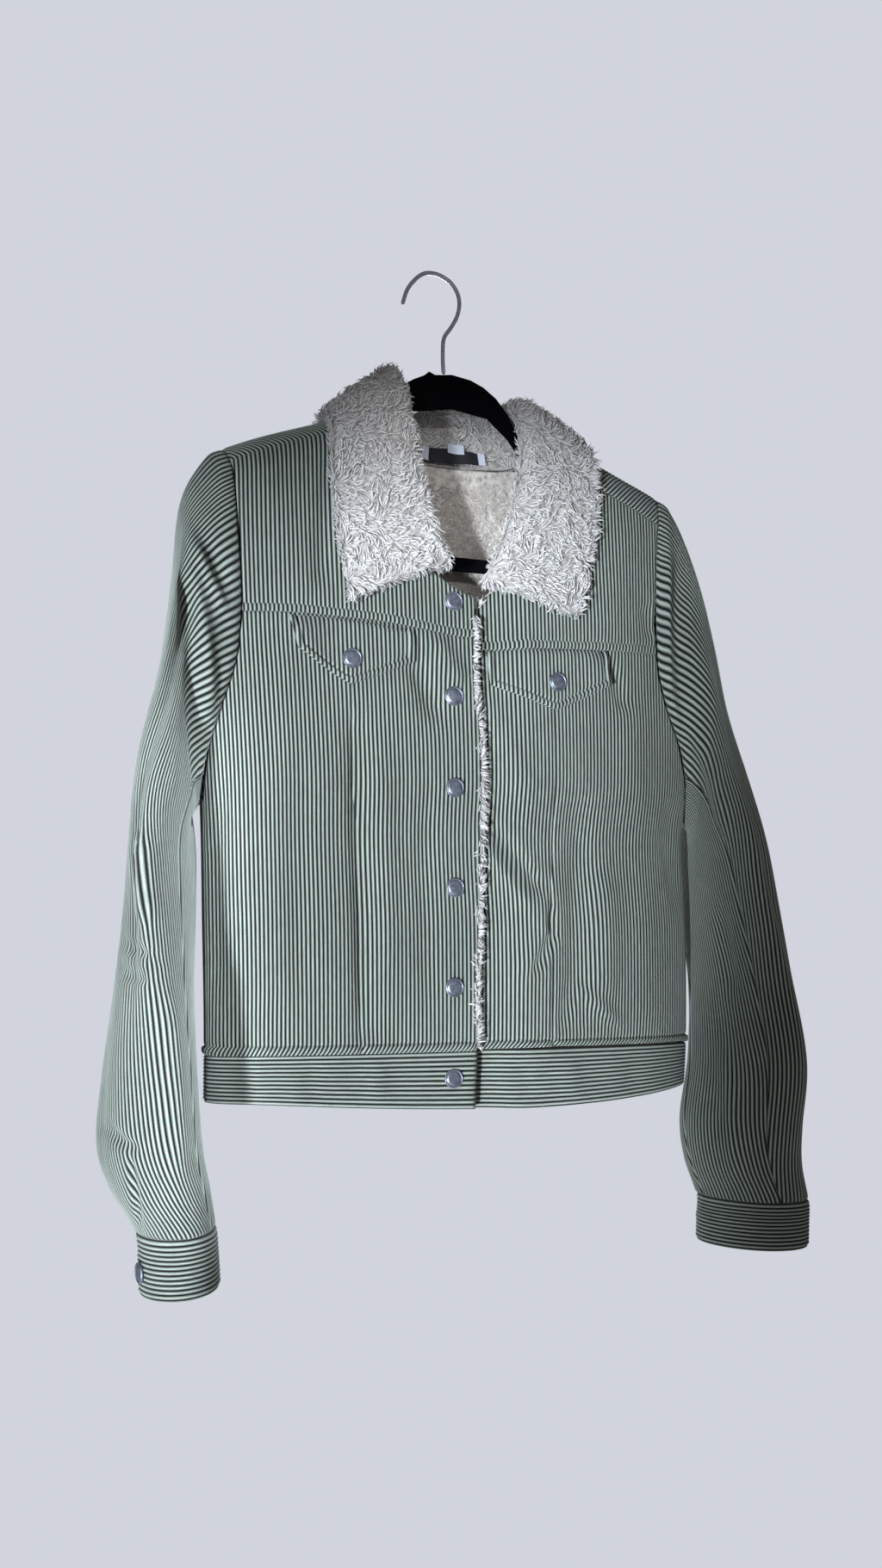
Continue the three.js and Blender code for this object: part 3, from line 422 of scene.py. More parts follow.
def body_point(face, turn, reach, lift=0.0):
    """A place on a face of the body."""
    face = FACES[face]
    turn, reach = np.broadcast_arrays(np.asarray(turn, float), np.asarray(reach, float))
    outward = np.where(reach < 0, -face["dir"], face["dir"])
    bend = np.minimum(np.abs(reach) / RIDGE_ROUND, math.pi / 2)
    drop = drop_at(reach)
    u = np.sin(turn)
    ring, x = ring_at(u, lambda x: ridge_z(x) - drop)
    z = ridge_z(x) - drop
    middle = (ring[..., 1] + ring[..., 2]) / 2
    half = (ring[..., 2] - ring[..., 1]) / 2
    depth = np.where(outward < 0, ring[..., 3], ring[..., 4])
    depth = depth + fold_rise(face["folds"], x, z) * (reach >= 0)
    if face["under"]:
        depth = depth - under_step(x)
    fullness = np.maximum(1 - np.abs(u) ** BOXINESS, 0) ** (1 / BOXINESS)
    return np.stack([
        middle + (half + lift * np.sin(bend)) * u,
        outward * (depth + lift) * fullness * np.sin(bend),
        z + lift * np.cos(bend),
    ], -1)


def chart(x, z):
    """The turn and reach of a place seen from the front."""
    x, z = np.broadcast_arrays(np.asarray(x, float), np.asarray(z, float))
    ring = sample(BODY_RINGS, z, 0)
    u = (2 * x - ring[..., 1] - ring[..., 2]) / (ring[..., 2] - ring[..., 1])
    drop = np.maximum(ridge_z(x) - z, 0)
    near = RIDGE_ROUND * np.arccos(np.clip(1 - drop / RIDGE_ROUND, -1, 1))
    far = RIDGE_ROUND * math.pi / 2 + drop - RIDGE_ROUND
    return np.arcsin(np.clip(u, -1, 1)), np.where(drop < RIDGE_ROUND, near, far)


# Wales count from the middle of each face along its cloth
WALE_TURNS = np.linspace(-math.pi / 2, math.pi / 2, 1441)


def wale_table(face):
    """How far along the cloth each turn lies from the face's middle."""
    ring = body_point(face, WALE_TURNS, np.full(WALE_TURNS.shape, 350.0))
    steps = np.linalg.norm(np.diff(ring, axis=0), axis=1)
    along = np.concatenate([[0], np.cumsum(steps)])
    return along - np.interp(0, WALE_TURNS, along)


WALE_PLACES = {name: wale_table(name) for name in FACES}


def wale_at(face, turn):
    return np.interp(turn, WALE_TURNS, WALE_PLACES[face])


def turn_at(face, wale):
    return np.interp(wale, WALE_PLACES[face], WALE_TURNS)


def wale_height(place):
    """The pile's height over the ground of the cloth, as rounded cords with narrow gaps."""
    phase = np.abs(np.sin(math.pi * place / WALE))
    return WALE_DEPTH * (phase ** 0.8 - 0.6)


# Seam lines as charts, each (turns, reaches) along the line
def seam(points, axis, count=160):
    """A smooth seam through places, keyed by x or z."""
    points = np.asarray(points, float)
    at = np.linspace(points[0][axis], points[-1][axis], count)
    line = sample(points, at, axis)
    return chart(line[:, 0], line[:, 1])


def x_place(x, reach):
    """The turn at an x and a reach."""
    return chart(x, ridge_z(x) - drop_at(reach))[0]


def armhole_seam(side, from_reach, to_reach, count=160):
    reach = np.linspace(from_reach, to_reach, count)
    x = np.full(count, float(armhole_x(side, -200)))
    for _ in range(4):
        x = armhole_x(side, ridge_z(x) - drop_at(reach))
    return x_place(x, reach), reach


def side_seam(side, from_z, to_z, count=80):
    z = np.linspace(from_z, to_z, count)
    x = sample(BODY_RINGS, z, 0)[:, 1 if side == "right" else 2]
    return chart(x, z)


def level_seam(z_at, count=200):
    turn = np.linspace(-math.pi / 2, math.pi / 2, count)
    _, x = ring_at(np.sin(turn), z_at)
    return turn, chart(x, z_at(x))[1]


def joined(*lines):
    return tuple(np.concatenate([line[k] for line in lines]) for k in (0, 1))


def by_turn(line):
    """The reach of a top or bottom seam at any turn."""
    order = np.argsort(line[0], kind="stable")
    return lambda turn: np.interp(turn, line[0][order], line[1][order])


def by_reach(line):
    """The turn of a side seam at any reach."""
    order = np.argsort(line[1], kind="stable")
    return lambda reach: np.interp(reach, line[1][order], line[0][order])


WAIST = level_seam(lambda x: np.full(np.shape(x), WAIST_SEAM_Z))
HEMLINE = level_seam(lambda x: sample(HEM, x, 0)[..., 1])
YOKE_ARM_Z = {"right": -284, "left": -291.6}
FRONT_EDGE_X = {"right": 12.4, "left": UNDER_EDGE_X}
TOP_CORNER_Z = {"right": -262, "left": -266}
PANEL_TOP_X = {"right": -85, "left": 79.5}


def arm_reach(side, z):
    return float(chart(armhole_x(side, z), z)[1])


def seam_z(points, x):
    return float(sample(points, x, 0)[..., 1])


def front_edge(side):
    x = FRONT_EDGE_X[side]
    if side == "right":
        return seam([[13, TOP_CORNER_Z[side]], [x, -292], *OVERLAP_EDGE[2:-1]], 1)
    return seam([[x, TOP_CORNER_Z[side]], [x, WAIST_SEAM_Z]], 1)


def panel_seam(side):
    x = PANEL_TOP_X[side]
    return seam([[x, seam_z(YOKE[side], x)], *PANEL[side][1:]], 1)


def neck_seam(side):
    reach = SHOULDER_SEAM_REACH[side]
    top = [NECK_X[side], float(ridge_z(NECK_X[side]) - drop_at(reach))]
    if side == "right":
        return seam([top, *NECKLINE[side][1:]], 0)
    return seam([*NECKLINE[side][:-1], top], 0)


def shoulder_seam(side):
    reach = SHOULDER_SEAM_REACH[side]
    arm = armhole_seam(side, reach, reach + 1, 2)[0][0]
    turn = np.linspace(arm, float(x_place(NECK_X[side], reach)), 40)
    return turn, np.full(40, float(reach))


def yoke_edges(side):
    arm = armhole_seam(side, SHOULDER_SEAM_REACH[side], arm_reach(side, YOKE_ARM_Z[side]))
    return arm, front_edge(side), joined(shoulder_seam(side), neck_seam(side)), seam(YOKE[side], 0)


def centre_edges(side):
    return panel_seam(side), front_edge(side), seam(YOKE[side], 0), WAIST


def side_edges(side):
    arm = armhole_seam(side, arm_reach(side, YOKE_ARM_Z[side]), arm_reach(side, UNDERARM_Z))
    outer = joined(arm, side_seam(side, UNDERARM_Z, WAIST_SEAM_Z))
    return outer, panel_seam(side), seam(YOKE[side], 0), WAIST


def lining_edges(side):
    outer = joined(
        armhole_seam(side, SHOULDER_SEAM_REACH[side], arm_reach(side, UNDERARM_Z)),
        side_seam(side, UNDERARM_Z, WAIST_SEAM_Z),
    )
    return outer, front_edge(side), joined(shoulder_seam(side), neck_seam(side)), WAIST


def back_edges(neck_growth=1.0):
    sides = [
        joined(
            armhole_seam(side, -SHOULDER_SEAM_REACH[side], arm_reach(side, UNDERARM_Z)),
            side_seam(side, UNDERARM_Z, WAIST_SEAM_Z),
        )
        for side in ("right", "left")
    ]
    neck = sample(BACK_NECK, np.linspace(0, len(BACK_NECK) - 1, 120))
    neck_turn = x_place(neck[:, 0] * neck_growth, neck[:, 1])
    ends = [(sides[0][0][0], -29.0), (sides[1][0][0], -45.0)]
    top = (
        np.concatenate([[ends[0][0]], neck_turn, [ends[1][0]]]),
        np.concatenate([[ends[0][1]], neck[:, 1], [ends[1][1]]]),
    )
    return sides[0], sides[1], top, WAIST


# Photograph's view of a point, for the creases
def photo_place(points):
    """Where the photograph's camera sees a place."""
    seen = points + STEM - EYE
    across = seen @ np.array([math.cos(YAW), -math.sin(YAW), 0])
    away = seen @ np.array([math.sin(YAW), math.cos(YAW), 0])
    return np.stack([
        PHOTO_CENTRE[0] + PHOTO_FOCAL * across / away,
        PHOTO_CENTRE[1] - PHOTO_FOCAL * seen[..., 2] / away,
    ], -1)


def nearest_on_line(line, place):
    """How far places lie from a line, and the share of it that lies before its nearest point."""
    line = np.asarray(line, float)
    lengths = np.linalg.norm(np.diff(line, axis=0), axis=1)
    starts = np.concatenate([[0], np.cumsum(lengths)])
    best = np.full(place.shape[:-1], 1e9)
    share = np.zeros(best.shape)
    for i, length in enumerate(lengths):
        way = (line[i + 1] - line[i]) / length
        t = np.clip((place - line[i]) @ way, 0, length)
        apart = np.linalg.norm(place - line[i] - t[..., None] * way, axis=-1)
        nearer = apart < best
        best = np.where(nearer, apart, best)
        share = np.where(nearer, (starts[i] + t) / starts[-1], share)
    return best, share


def crease_rise(points, normals):
    """Creases raise the cloth where the photograph's camera can see it."""
    facing = smooth((unit(EYE - STEM - points) * normals).sum(-1) * 2.2 - 0.1)
    place = photo_place(points)
    rise = np.zeros(points.shape[:-1])
    for line, width, height in CREASES:
        apart, share = nearest_on_line(line, place)
        taper = smooth(share * 4) * smooth((1 - share) * 4) * 0.85 + 0.15
        rise += CREASE_STRENGTH * height * hump(apart, width) * taper
    rise = np.where(rise < 0, -DEEPEST_CREASE * np.tanh(-rise / DEEPEST_CREASE), rise)
    return rise * facing


# Soft unevenness of cloth, the same from any piece at a place
WAVES = np.random.default_rng(4).normal(size=(14, 3)) * np.array([0.05, 0.05, 0.022])
PHASES = np.random.default_rng(5).uniform(0, 2 * math.pi, 14)


def unevenness(points, height):
    """Slow waves of the cloth."""
    waves = np.sin(points @ WAVES.T + PHASES)
    return height * waves.mean(-1) * 2


# Shader maths as expressions on sockets
class Value:
    def __init__(self, tree, socket):
        self.tree = tree
        self.socket = socket

    def math(self, operation, other=None, swapped=False):
        pair = [self, other] if not swapped else [other, self]
        values = {i: v for i, v in enumerate(pair) if v is not None}
        return self.tree.node("ShaderNodeMath", {"operation": operation}, values)

    def __add__(self, other):
        return self.math("ADD", other)

    def __radd__(self, other):
        return self.math("ADD", other, True)

    def __sub__(self, other):
        return self.math("SUBTRACT", other)

    def __rsub__(self, other):
        return self.math("SUBTRACT", other, True)

    def __mul__(self, other):
        return self.math("MULTIPLY", other)

    def __rmul__(self, other):
        return self.math("MULTIPLY", other, True)


class Finish:
    """A material and the nodes that make its finish."""

    def __init__(self, name):
        self.material = bpy.data.materials.new(name)
        self.material.use_nodes = True
        self.nodes = self.material.node_tree.nodes
        self.links = self.material.node_tree.links
        self.shader = self.nodes["Principled BSDF"]

    def node(self, kind, settings=None, values=None, output=0):
        node = self.nodes.new(kind)
        for name, value in (settings or {}).items():
            if name == "stops":
                self.set_stops(node, value)
            else:
                setattr(node, name, value)
        for name, value in (values or {}).items():
            self.feed(node.inputs[name], value)
        return Value(self, node.outputs[output])

    def feed(self, socket, value):
        if isinstance(value, Value):
            self.links.new(value.socket, socket)
        else:
            socket.default_value = value

    @staticmethod
    def set_stops(node, stops):
        elements = node.color_ramp.elements
        while len(elements) < len(stops):
            elements.new(0.5)
        for element, (place, colour) in zip(elements, stops):
            element.position = place
            element.color = colour

    def place(self):
        return self.node("ShaderNodeTexCoord", output=3)

    def cloth_place(self):
        return self.node("ShaderNodeUVMap", {"uv_map": "cut"})

    def scaled(self, vector, scale):
        return self.node("ShaderNodeMapping", {"vector_type": "POINT"}, {0: vector, 3: scale})

    def noise(self, vector, scale, detail=2.0, roughness=0.5):
        values = {"Vector": vector, "Scale": scale, "Detail": detail, "Roughness": roughness}
        return self.node("ShaderNodeTexNoise", None, values)

    def ramp(self, factor, stops):
        return self.node("ShaderNodeValToRGB", {"stops": stops}, {0: factor})

    def blend(self, factor, first, second, kind="MIX"):
        settings = {"data_type": "RGBA", "blend_type": kind}
        return self.node("ShaderNodeMix", settings, {0: factor, 6: first, 7: second}, 2)

    def bump(self, height, distance, strength=1.0, normal=None):
        values = {"Height": height, "Distance": distance, "Strength": strength}
        if normal is not None:
            values["Normal"] = normal
        return self.node("ShaderNodeBump", None, values)

    def set(self, **sockets):
        for name, value in sockets.items():
            self.feed(self.shader.inputs[name.replace("_", " ")], value)
        return self.material


def linear(red, green, blue):
    """A colour given as the screen's 0 to 255 values."""
    def one(v):
        v /= 255
        return v / 12.92 if v <= 0.04045 else ((v + 0.055) / 1.055) ** 2.4
    return (one(red), one(green), one(blue), 1.0)


def corduroy_finish():
    f = Finish("corduroy")
    place, cut = f.place(), f.cloth_place()
    across = f.node("ShaderNodeSeparateXYZ", None, {0: cut}, 0)
    groove_shade_mask = (across * (math.pi / (WALE * MM))).math("SINE").math("ABSOLUTE")
    rubbed = f.noise(place, 9.0, 3.0)
    brushed = f.noise(f.scaled(cut, (900.0, 90.0, 1.0)), 1.0, 2.0)
    fibre = f.noise(f.scaled(cut, (2600.0, 1100.0, 1.0)), 1.0, 2.0, 0.7)
    # The ramp paints shade into the grooves: near black between the cords and the cloth's own colour on
    # their tops, over the cords' real relief.
    pile = f.ramp(groove_shade_mask + (fibre - 0.5) * 0.5, [
        (0.25, linear(13, 14, 11)),
        (0.52, linear(62, 66, 58)),
        (0.85, linear(131, 137, 126)),
        (1.0, linear(161, 167, 155)),
    ])
    tone = (rubbed * 0.45 + brushed * 0.55) * 0.9 + 0.52
    shade = f.node("ShaderNodeCombineColor", None, {0: tone, 1: tone, 2: tone})
    colour = f.blend(1.0, pile, shade, "MULTIPLY")
    fuzz = f.bump(fibre, 0.0004, 0.8)
    return f.set(
        Base_Color=colour,
        Roughness=0.92,
        Normal=fuzz,
        Sheen_Weight=0.12,
        Sheen_Roughness=0.5,
        Specular_IOR_Level=0.15,
    )


def pile_finish(name, root, middle, tip):
    """Tufts, darker down towards their roots: painted shade deep in the pile."""
    f = Finish(name)
    place, cut = f.place(), f.cloth_place()
    height = f.node("ShaderNodeSeparateXYZ", None, {0: cut}, 1)
    patches = f.noise(place, 60.0, 3.0)
    # Root to tip along each tuft: the darker root colour is painted shade down in the pile.
    colour = f.ramp(height + (patches - 0.5) * 0.5, [(0.0, root), (0.35, middle), (0.85, tip)])
    return f.set(
        Base_Color=colour,
        Roughness=0.9,
        Sheen_Weight=0.25,
        Specular_IOR_Level=0.3,
    )


def fleece_finish(name, dark, light):
    """The ground of the sherpa under its tufts, and the sherpa where tufts are short, with painted shade
    where its bumps are low.
    """
    f = Finish(name)
    place = f.place()
    curl = f.noise(place, 330.0, 3.0, 0.6)
    clump = f.node("ShaderNodeTexVoronoi", {"feature": "SMOOTH_F1"}, {"Vector": place, "Scale": 260.0})
    height = curl * 0.6 + clump * 0.6
    # The same height drives the bump and the colour: darker where it is low, painted shade in the hollows
    # between the clumps.
    colour = f.ramp(height, [(0.25, dark), (0.7, light)])
    return f.set(
        Base_Color=colour,
        Roughness=0.95,
        Normal=f.bump(height, 0.002, 0.9),
        Sheen_Weight=0.2,
    )


def snap_finish():
    f = Finish("snap")
    place = f.place()
    brushed = f.noise(f.scaled(place, (2600.0, 2600.0, 260.0)), 1.0, 2.0)
    worn = f.noise(place, 300.0, 3.0)
    colour = f.ramp(worn, [(0.3, linear(104, 107, 116)), (0.7, linear(146, 150, 160))])
    return f.set(
        Base_Color=colour,
        Metallic=0.8,
        Roughness=brushed * 0.2 + 0.32,
        Normal=f.bump(brushed, 0.00012, 0.5),
    )


def hanger_finish():
    f = Finish("hanger")
    place = f.place()
    grain = f.noise(place, 900.0, 2.0)
    colour = f.ramp(f.noise(place, 14.0, 2.0), [(0.3, linear(3, 3, 5)), (0.8, linear(8, 8, 11))])
    return f.set(
        Base_Color=colour,
        Roughness=grain * 0.2 + 0.7,
        Normal=f.bump(grain, 0.0002, 0.4),
        Specular_IOR_Level=0.04,
    )


def wire_finish():
    f = Finish("wire")
    drawn = f.noise(f.place(), 600.0, 2.0)
    colour = f.ramp(drawn, [(0.3, linear(165, 167, 172)), (0.7, linear(215, 217, 222))])
    return f.set(Base_Color=colour, Metallic=0.5, Roughness=drawn * 0.15 + 0.22)


def label_finish(name, dark, light):
    """Woven tape."""
    f = Finish(name)
    values = {"Vector": f.cloth_place(), "Scale": 700.0}
    weft = f.node("ShaderNodeTexWave", {"bands_direction": "Y"}, values)
    colour = f.ramp(weft, [(0.2, dark), (0.8, light)])
    return f.set(Base_Color=colour, Roughness=0.75, Normal=f.bump(weft, 0.0001, 0.6))


CORDUROY = corduroy_finish()
# Each fleece's dark colour is painted shade in the hollows between its clumps.
SHERPA = fleece_finish("sherpa_ground", linear(112, 105, 98), linear(180, 174, 166))
# The first colour given to each pile is painted shade at its tufts' roots.
SHERPA_PILE = pile_finish(
    "sherpa_pile", linear(146, 140, 133), linear(194, 189, 183), linear(220, 216, 210)
)
LINING = fleece_finish("lining_ground", linear(135, 127, 118), linear(196, 188, 177))
LINING_PILE = pile_finish(
    "lining_pile", linear(140, 131, 121), linear(186, 177, 166), linear(208, 200, 190)
)
SNAP = snap_finish()
HANGER = hanger_finish()
WIRE = wire_finish()
LABEL = label_finish("label", linear(14, 14, 17), linear(30, 30, 34))
TAPE = label_finish("tape", linear(176, 178, 186), linear(206, 208, 216))


# Meshes
def new_object(name, places, faces, uvs, material, smooth_faces=True):
    """An object from places in the tables' millimetres."""
    mesh = bpy.data.meshes.new(name)
    mesh.from_pydata(((places + STEM) * MM).tolist(), [], faces.tolist())
    if uvs is not None:
        layer = mesh.uv_layers.new(name="cut")
        layer.data.foreach_set("uv", uvs[faces.ravel()].astype(np.float32).ravel())
    mesh.materials.append(material)
    mesh.shade_smooth() if smooth_faces else mesh.shade_flat()
    piece = bpy.data.objects.new(name, mesh)
    bpy.context.scene.collection.objects.link(piece)
    tidy(mesh)
    return piece


def reworked(mesh, *steps):
    """The steps run on the mesh one after another."""
    work = bmesh.new()
    work.from_mesh(mesh)
    for step in steps:
        step(work)
    work.to_mesh(mesh)
    work.free()


def merge_close(work):
    bmesh.ops.remove_doubles(work, verts=work.verts, dist=MERGE)


def drop_slivers(work):
    bmesh.ops.dissolve_degenerate(work, edges=work.edges, dist=SLIVER)


def fill_holes(work):
    bmesh.ops.holes_fill(work, edges=[edge for edge in work.edges if edge.is_boundary])


def face_outwards(work):
    bmesh.ops.recalc_face_normals(work, faces=work.faces)


def tidy(mesh):
    """Points that a cut has pushed together become one."""
    reworked(mesh, merge_close, drop_slivers)
    mesh.validate()


def grid_faces(nu, nv, flipped=False, wrap=False):
    """The quads of a grid of nu by nv points."""
    number = np.arange(nu * nv).reshape(nu, nv)
    after = np.roll(number, -1, 0) if wrap else number[1:]
    here = number if wrap else number[:-1]
    quads = np.stack([here[:, :-1], after[:, :-1], after[:, 1:], here[:, 1:]], -1).reshape(-1, 4)
    return quads[:, ::-1] if flipped else quads


def grid_object(name, points, uv, normals, material):
    nu, nv = points.shape[:2]
    across = np.diff(points, axis=0)[:, :-1]
    along = np.diff(points, axis=1)[:-1]
    facing = (np.cross(across, along) * normals[:-1, :-1]).sum(-1).sum()
    faces = grid_faces(nu, nv, flipped=facing < 0)
    return new_object(name, points.reshape(-1, 3), faces, uv.reshape(-1, 2), material)


def turned_in(points, normals, uv, depth):
    """The grid with its borders turned in, as a cut and pressed edge is."""
    pad = ((1, 1), (1, 1), (0, 0))
    p, n, t = (np.pad(v, pad, mode="edge") for v in (points, normals, uv))
    for border in (np.s_[0], np.s_[-1], np.s_[:, 0], np.s_[:, -1]):
        p[border] -= n[border] * depth
        t[border] += depth * MM
    return p, n, t


def cut_size(points):
    """The cut's width, length and area in metres."""
    across = np.linalg.norm(np.diff(points, axis=0), axis=-1)
    along = np.linalg.norm(np.diff(points, axis=1), axis=-1)
    quads = np.cross(np.diff(points, axis=0)[:, :-1], np.diff(points, axis=1)[:-1])
    area = np.linalg.norm(quads, axis=-1).sum() * MM * MM
    width, length = across.sum(0).max() * MM, along.sum(1).max() * MM
    return width, length, min(area, width * length)


def cut_piece(name, base, normals, rise, uv, turn_in, material=None):
    """A piece raised over its ground with its edges turned in, and its flat size."""
    points, turned, places = turned_in(base + normals * rise[..., None], normals, uv, turn_in)
    return grid_object(name, points, places, turned, material or CORDUROY), cut_size(base)


# Corduroy panels of the body, cut between seams from cloth with straight wales
def columns_between(first, last):
    step = WALE / WALE_STEPS
    inner = np.arange(math.ceil(first / step), math.floor(last / step) + 1) * step
    return np.concatenate([[first], inner, [last]])


def even_columns(first, last):
    return np.linspace(first, last, int((last - first) / ROW_STEP) + 2)


def seam_roll(distance):
    return -SEAM_DEPTH * hump(distance, SEAM_WIDTH)


def cord_rise(wale, edge, base, normals, waves, extra, at_seam=0.0):
    """The cords, cut off at the seams, with the seams' roll, the creases and anything extra."""
    rise = wale_height(wale) * smooth(edge / 1.5 + at_seam) + seam_roll(edge) + extra
    return rise + crease_rise(base, normals) + unevenness(base, waves)


def panel_places(face, edges, slide, slip, corded):
    """A panel's turns and reaches, its places across the wales, their slide, and the gaps to its seams."""
    first, second, top_line, bottom_line = edges
    left, right = sorted([first, second], key=lambda line: line[0].mean())
    left_at, right_at = by_reach(left), by_reach(right)
    top_at, bottom_at = by_turn(top_line), by_turn(bottom_line)
    start, stop = wale_at(face, left[0].min()) - slip, wale_at(face, right[0].max()) + slip
    wales = columns_between(start, stop) if corded else even_columns(start, stop)
    column = turn_at(face, wales)
    top, bottom = top_at(column), bottom_at(column)
    length = np.max(bottom - top)
    share = row_shares(int(length / ROW_STEP) + 2, length)
    reach = mix(top[:, None], bottom[:, None], share[None])
    turn = np.clip(column[:, None] + np.zeros_like(reach), left_at(reach), right_at(reach))
    shift = np.zeros_like(reach)
    if slide is not None:
        shift = slide(turn, reach, bottom_at(turn) - reach)
    turn = np.clip(turn_at(face, wales[:, None] + shift), left_at(reach), right_at(reach))
    reach = np.clip(reach, top_at(turn), bottom_at(turn))
    place = wale_at(face, turn)
    gaps = {
        "top": reach - top_at(turn),
        "bottom": bottom_at(turn) - reach,
        "left": place - wale_at(face, left_at(reach)),
        "right": wale_at(face, right_at(reach)) - place,
    }
    return turn, reach, place, shift, gaps


def panel(name, face, edges, lift=0.0, relief=None, slide=None, slip=0.0, material=None,
          turn_in=PANEL_TURN_IN):
    """One cut piece between its outer, inner, top and bottom seams. Without a material it is
    corduroy, whose wales may slide sideways by as much as slip."""
    turn, reach, place, shift, gaps = panel_places(face, edges, slide, slip, material is None)
    base = body_point(face, turn, reach, lift)
    normals = body_normal(face, turn, reach, lift)
    rise = relief(gaps) if relief is not None else np.zeros_like(reach)
    wale = place - shift
    if material is None:
        edge = nearest(*gaps.values())
        rise = cord_rise(wale, edge, base, normals, WAVES_OF_PANELS, rise, CORD_AT_SEAM)
    uv = np.stack([wale, reach], -1) * MM
    return cut_piece(name, base, normals, rise, uv, turn_in, material)


def body_normal(face, turn, reach, lift):
    """The way out of the cloth, with one sign for the whole piece."""
    after, before = turn + TURN_STEP, turn - TURN_STEP
    across = body_point(face, after, reach, lift) - body_point(face, before, reach, lift)
    below, above = reach + REACH_STEP, reach - REACH_STEP
    along = body_point(face, turn, below, lift) - body_point(face, turn, above, lift)
    normals = unit(np.cross(across, along))
    outward = (body_point(face, turn, reach, lift) - BODY_MIDDLE) * np.array([0.2, 1, 0.05])
    return -normals if (normals * outward).sum() < 0 else normals


def row_shares(rows, length):
    """Even rows, with closer ones at both ends for tucks and seams."""
    even = np.linspace(0, 1, rows)
    close = np.array([0.5, 1.2, 2.0, 3.0, 4.2, 5.4, 6.2, 7.0, 7.8, 8.6, 9.8]) / length
    shares = np.unique(np.round(np.concatenate([even, close, 1 - close]), 6))
    return shares[(shares >= 0) & (shares <= 1)]


def yoke_relief(gaps):
    """The stitched band over a yoke seam."""
    gap = gaps["bottom"]
    return -1.0 * hump(gap - TUCK_HEIGHT, 0.9) + 0.6 * smooth((TUCK_HEIGHT - gap) / 1.5)


def yoke_slide(turn, reach, below):
    return smooth(TUCK_HEIGHT - below)


def welt_relief(gaps):
    """The rolled welt over the waistband."""
    gap = gaps["bottom"]
    inside = smooth((WELT_HEIGHT - gap) / 0.8)
    half = WELT_HEIGHT / 2
    roll = WELT_RISE * np.sqrt(np.clip(1 - ((gap - half) / (half + 0.3)) ** 2, 0, 1))
    ends = smooth(np.minimum(gaps["left"], gaps["right"]) / 6)
    return (roll * inside - 0.9 * hump(gap - WELT_HEIGHT - 0.5, 0.9)) * ends


def welt_slide(turn, reach, below):
    return -0.75 * np.clip(WELT_HEIGHT - below, 0, WELT_HEIGHT)


def back_slide(turn, reach, below):
    """The back is carried forward over the shoulders, its wales slanting outwards."""
    return welt_slide(turn, reach, below) + np.sign(turn) * np.minimum(reach, 0) * SHOULDER_SLANT


def flap_relief(side):
    """A flap's stitched edge, and its outer end curling off the front."""
    def relief(gaps):
        edge = nearest(gaps["left"], gaps["right"], gaps["bottom"] * 0.88)
        groove = -1.3 * hump(edge - FLAP_STITCH_LINE, 1.1)
        lip = 0.9 * smooth((FLAP_STITCH_LINE - edge) / 1.5) * smooth(edge / 1.0 + 0.3)
        width = gaps["left"] + gaps["right"]
        outer = gaps["left"] if side == "right" else gaps["right"]
        curl = FLAP_CURL[side] * (1 - smooth(outer / width * 3)) * smooth(gaps["top"] / 12)
        press = -1.2 * hump(gaps["top"], 3.0)
        return groove + lip + curl + press
    return relief


def keep(piece, nodes=()):
    """A finished piece rides on the body and stands for its CAD nodes."""
    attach(piece, "root")
    if nodes:
        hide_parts(*nodes)


WELTED = {"relief": welt_relief, "slide": welt_slide, "slip": WELT_HEIGHT}
TUCKED = {"relief": yoke_relief, "slide": yoke_slide, "slip": YOKE_SLIP}


def flap_edges(side):
    flap = FLAPS[side]
    ends = seam(flap["left"], 1), seam(flap["right"], 1)
    return *ends, seam(flap["top"], 0), seam(flap["bottom"], 0)


def front_pieces(side):
    """A front's four corduroy pieces, each with its flat size, by the node that it replaces."""
    face = FRONTS[side]
    flap = {"relief": flap_relief(side), "turn_in": FLAP_TURN_IN}
    return {
        f"{side}_front_yoke": panel(f"{side}_yoke_cloth", face, yoke_edges(side), **TUCKED),
        f"{side}_front_centre": panel(f"{side}_centre_cloth", face, centre_edges(side), **WELTED),
        f"{side}_front_side": panel(f"{side}_side_cloth", face, side_edges(side), **WELTED),
        f"{side}_pocket_flap": panel(f"{side}_flap_cloth", face, flap_edges(side), FLAP_LIFT, **flap),
    }


for side in ("right", "left"):
    for node, (piece, size) in front_pieces(side).items():
        keep(piece, [node])

piece, size = panel("back_cloth", "back", back_edges(), relief=welt_relief, slide=back_slide, slip=BACK_SLIP)
keep(piece, ["back"])


# Waistband, its wales running round
def band(name, face, from_turn, to_turn):
    """A piece of the waistband between two turns."""
    top_at, bottom_at = by_turn(WAIST), by_turn(HEMLINE)
    start, stop = wale_at(face, from_turn), wale_at(face, to_turn)
    column = turn_at(face, even_columns(start, stop))
    height = float(np.mean(bottom_at(column) - top_at(column)))
    down = columns_between(0.0, height)
    reach = mix(top_at(column)[:, None], bottom_at(column)[:, None], down[None] / height)
    turn = column[:, None] + np.zeros_like(reach)
    along = wale_at(face, turn)
    base = body_point(face, turn, reach)
    normals = unit(base - body_point(face, turn, reach, -10.0))
    edge = nearest(down[None], height - down[None], along - start, stop - along)
    rise = cord_rise(down[None], edge, base, normals, WAVES_OF_PANELS, BAND_RISE)
    uv = np.stack([np.broadcast_to(down[None], along.shape), along], -1) * MM
    return cut_piece(name, base, normals, rise, uv, BAND_CLOTH)


SIDE = math.pi / 2
BANDS = {
    "waistband_right_front": ("over", -SIDE, float(chart(15, WAIST_SEAM_Z)[0])),
    "waistband_left_front": ("under", float(chart(UNDER_EDGE_X, WAIST_SEAM_Z)[0]), SIDE),
    "waistband_back": ("back", -SIDE, SIDE),
}
for node, (face, from_turn, to_turn) in BANDS.items():
    piece, size = band(f"{node}_cloth", face, from_turn, to_turn)
    keep(piece, [node])


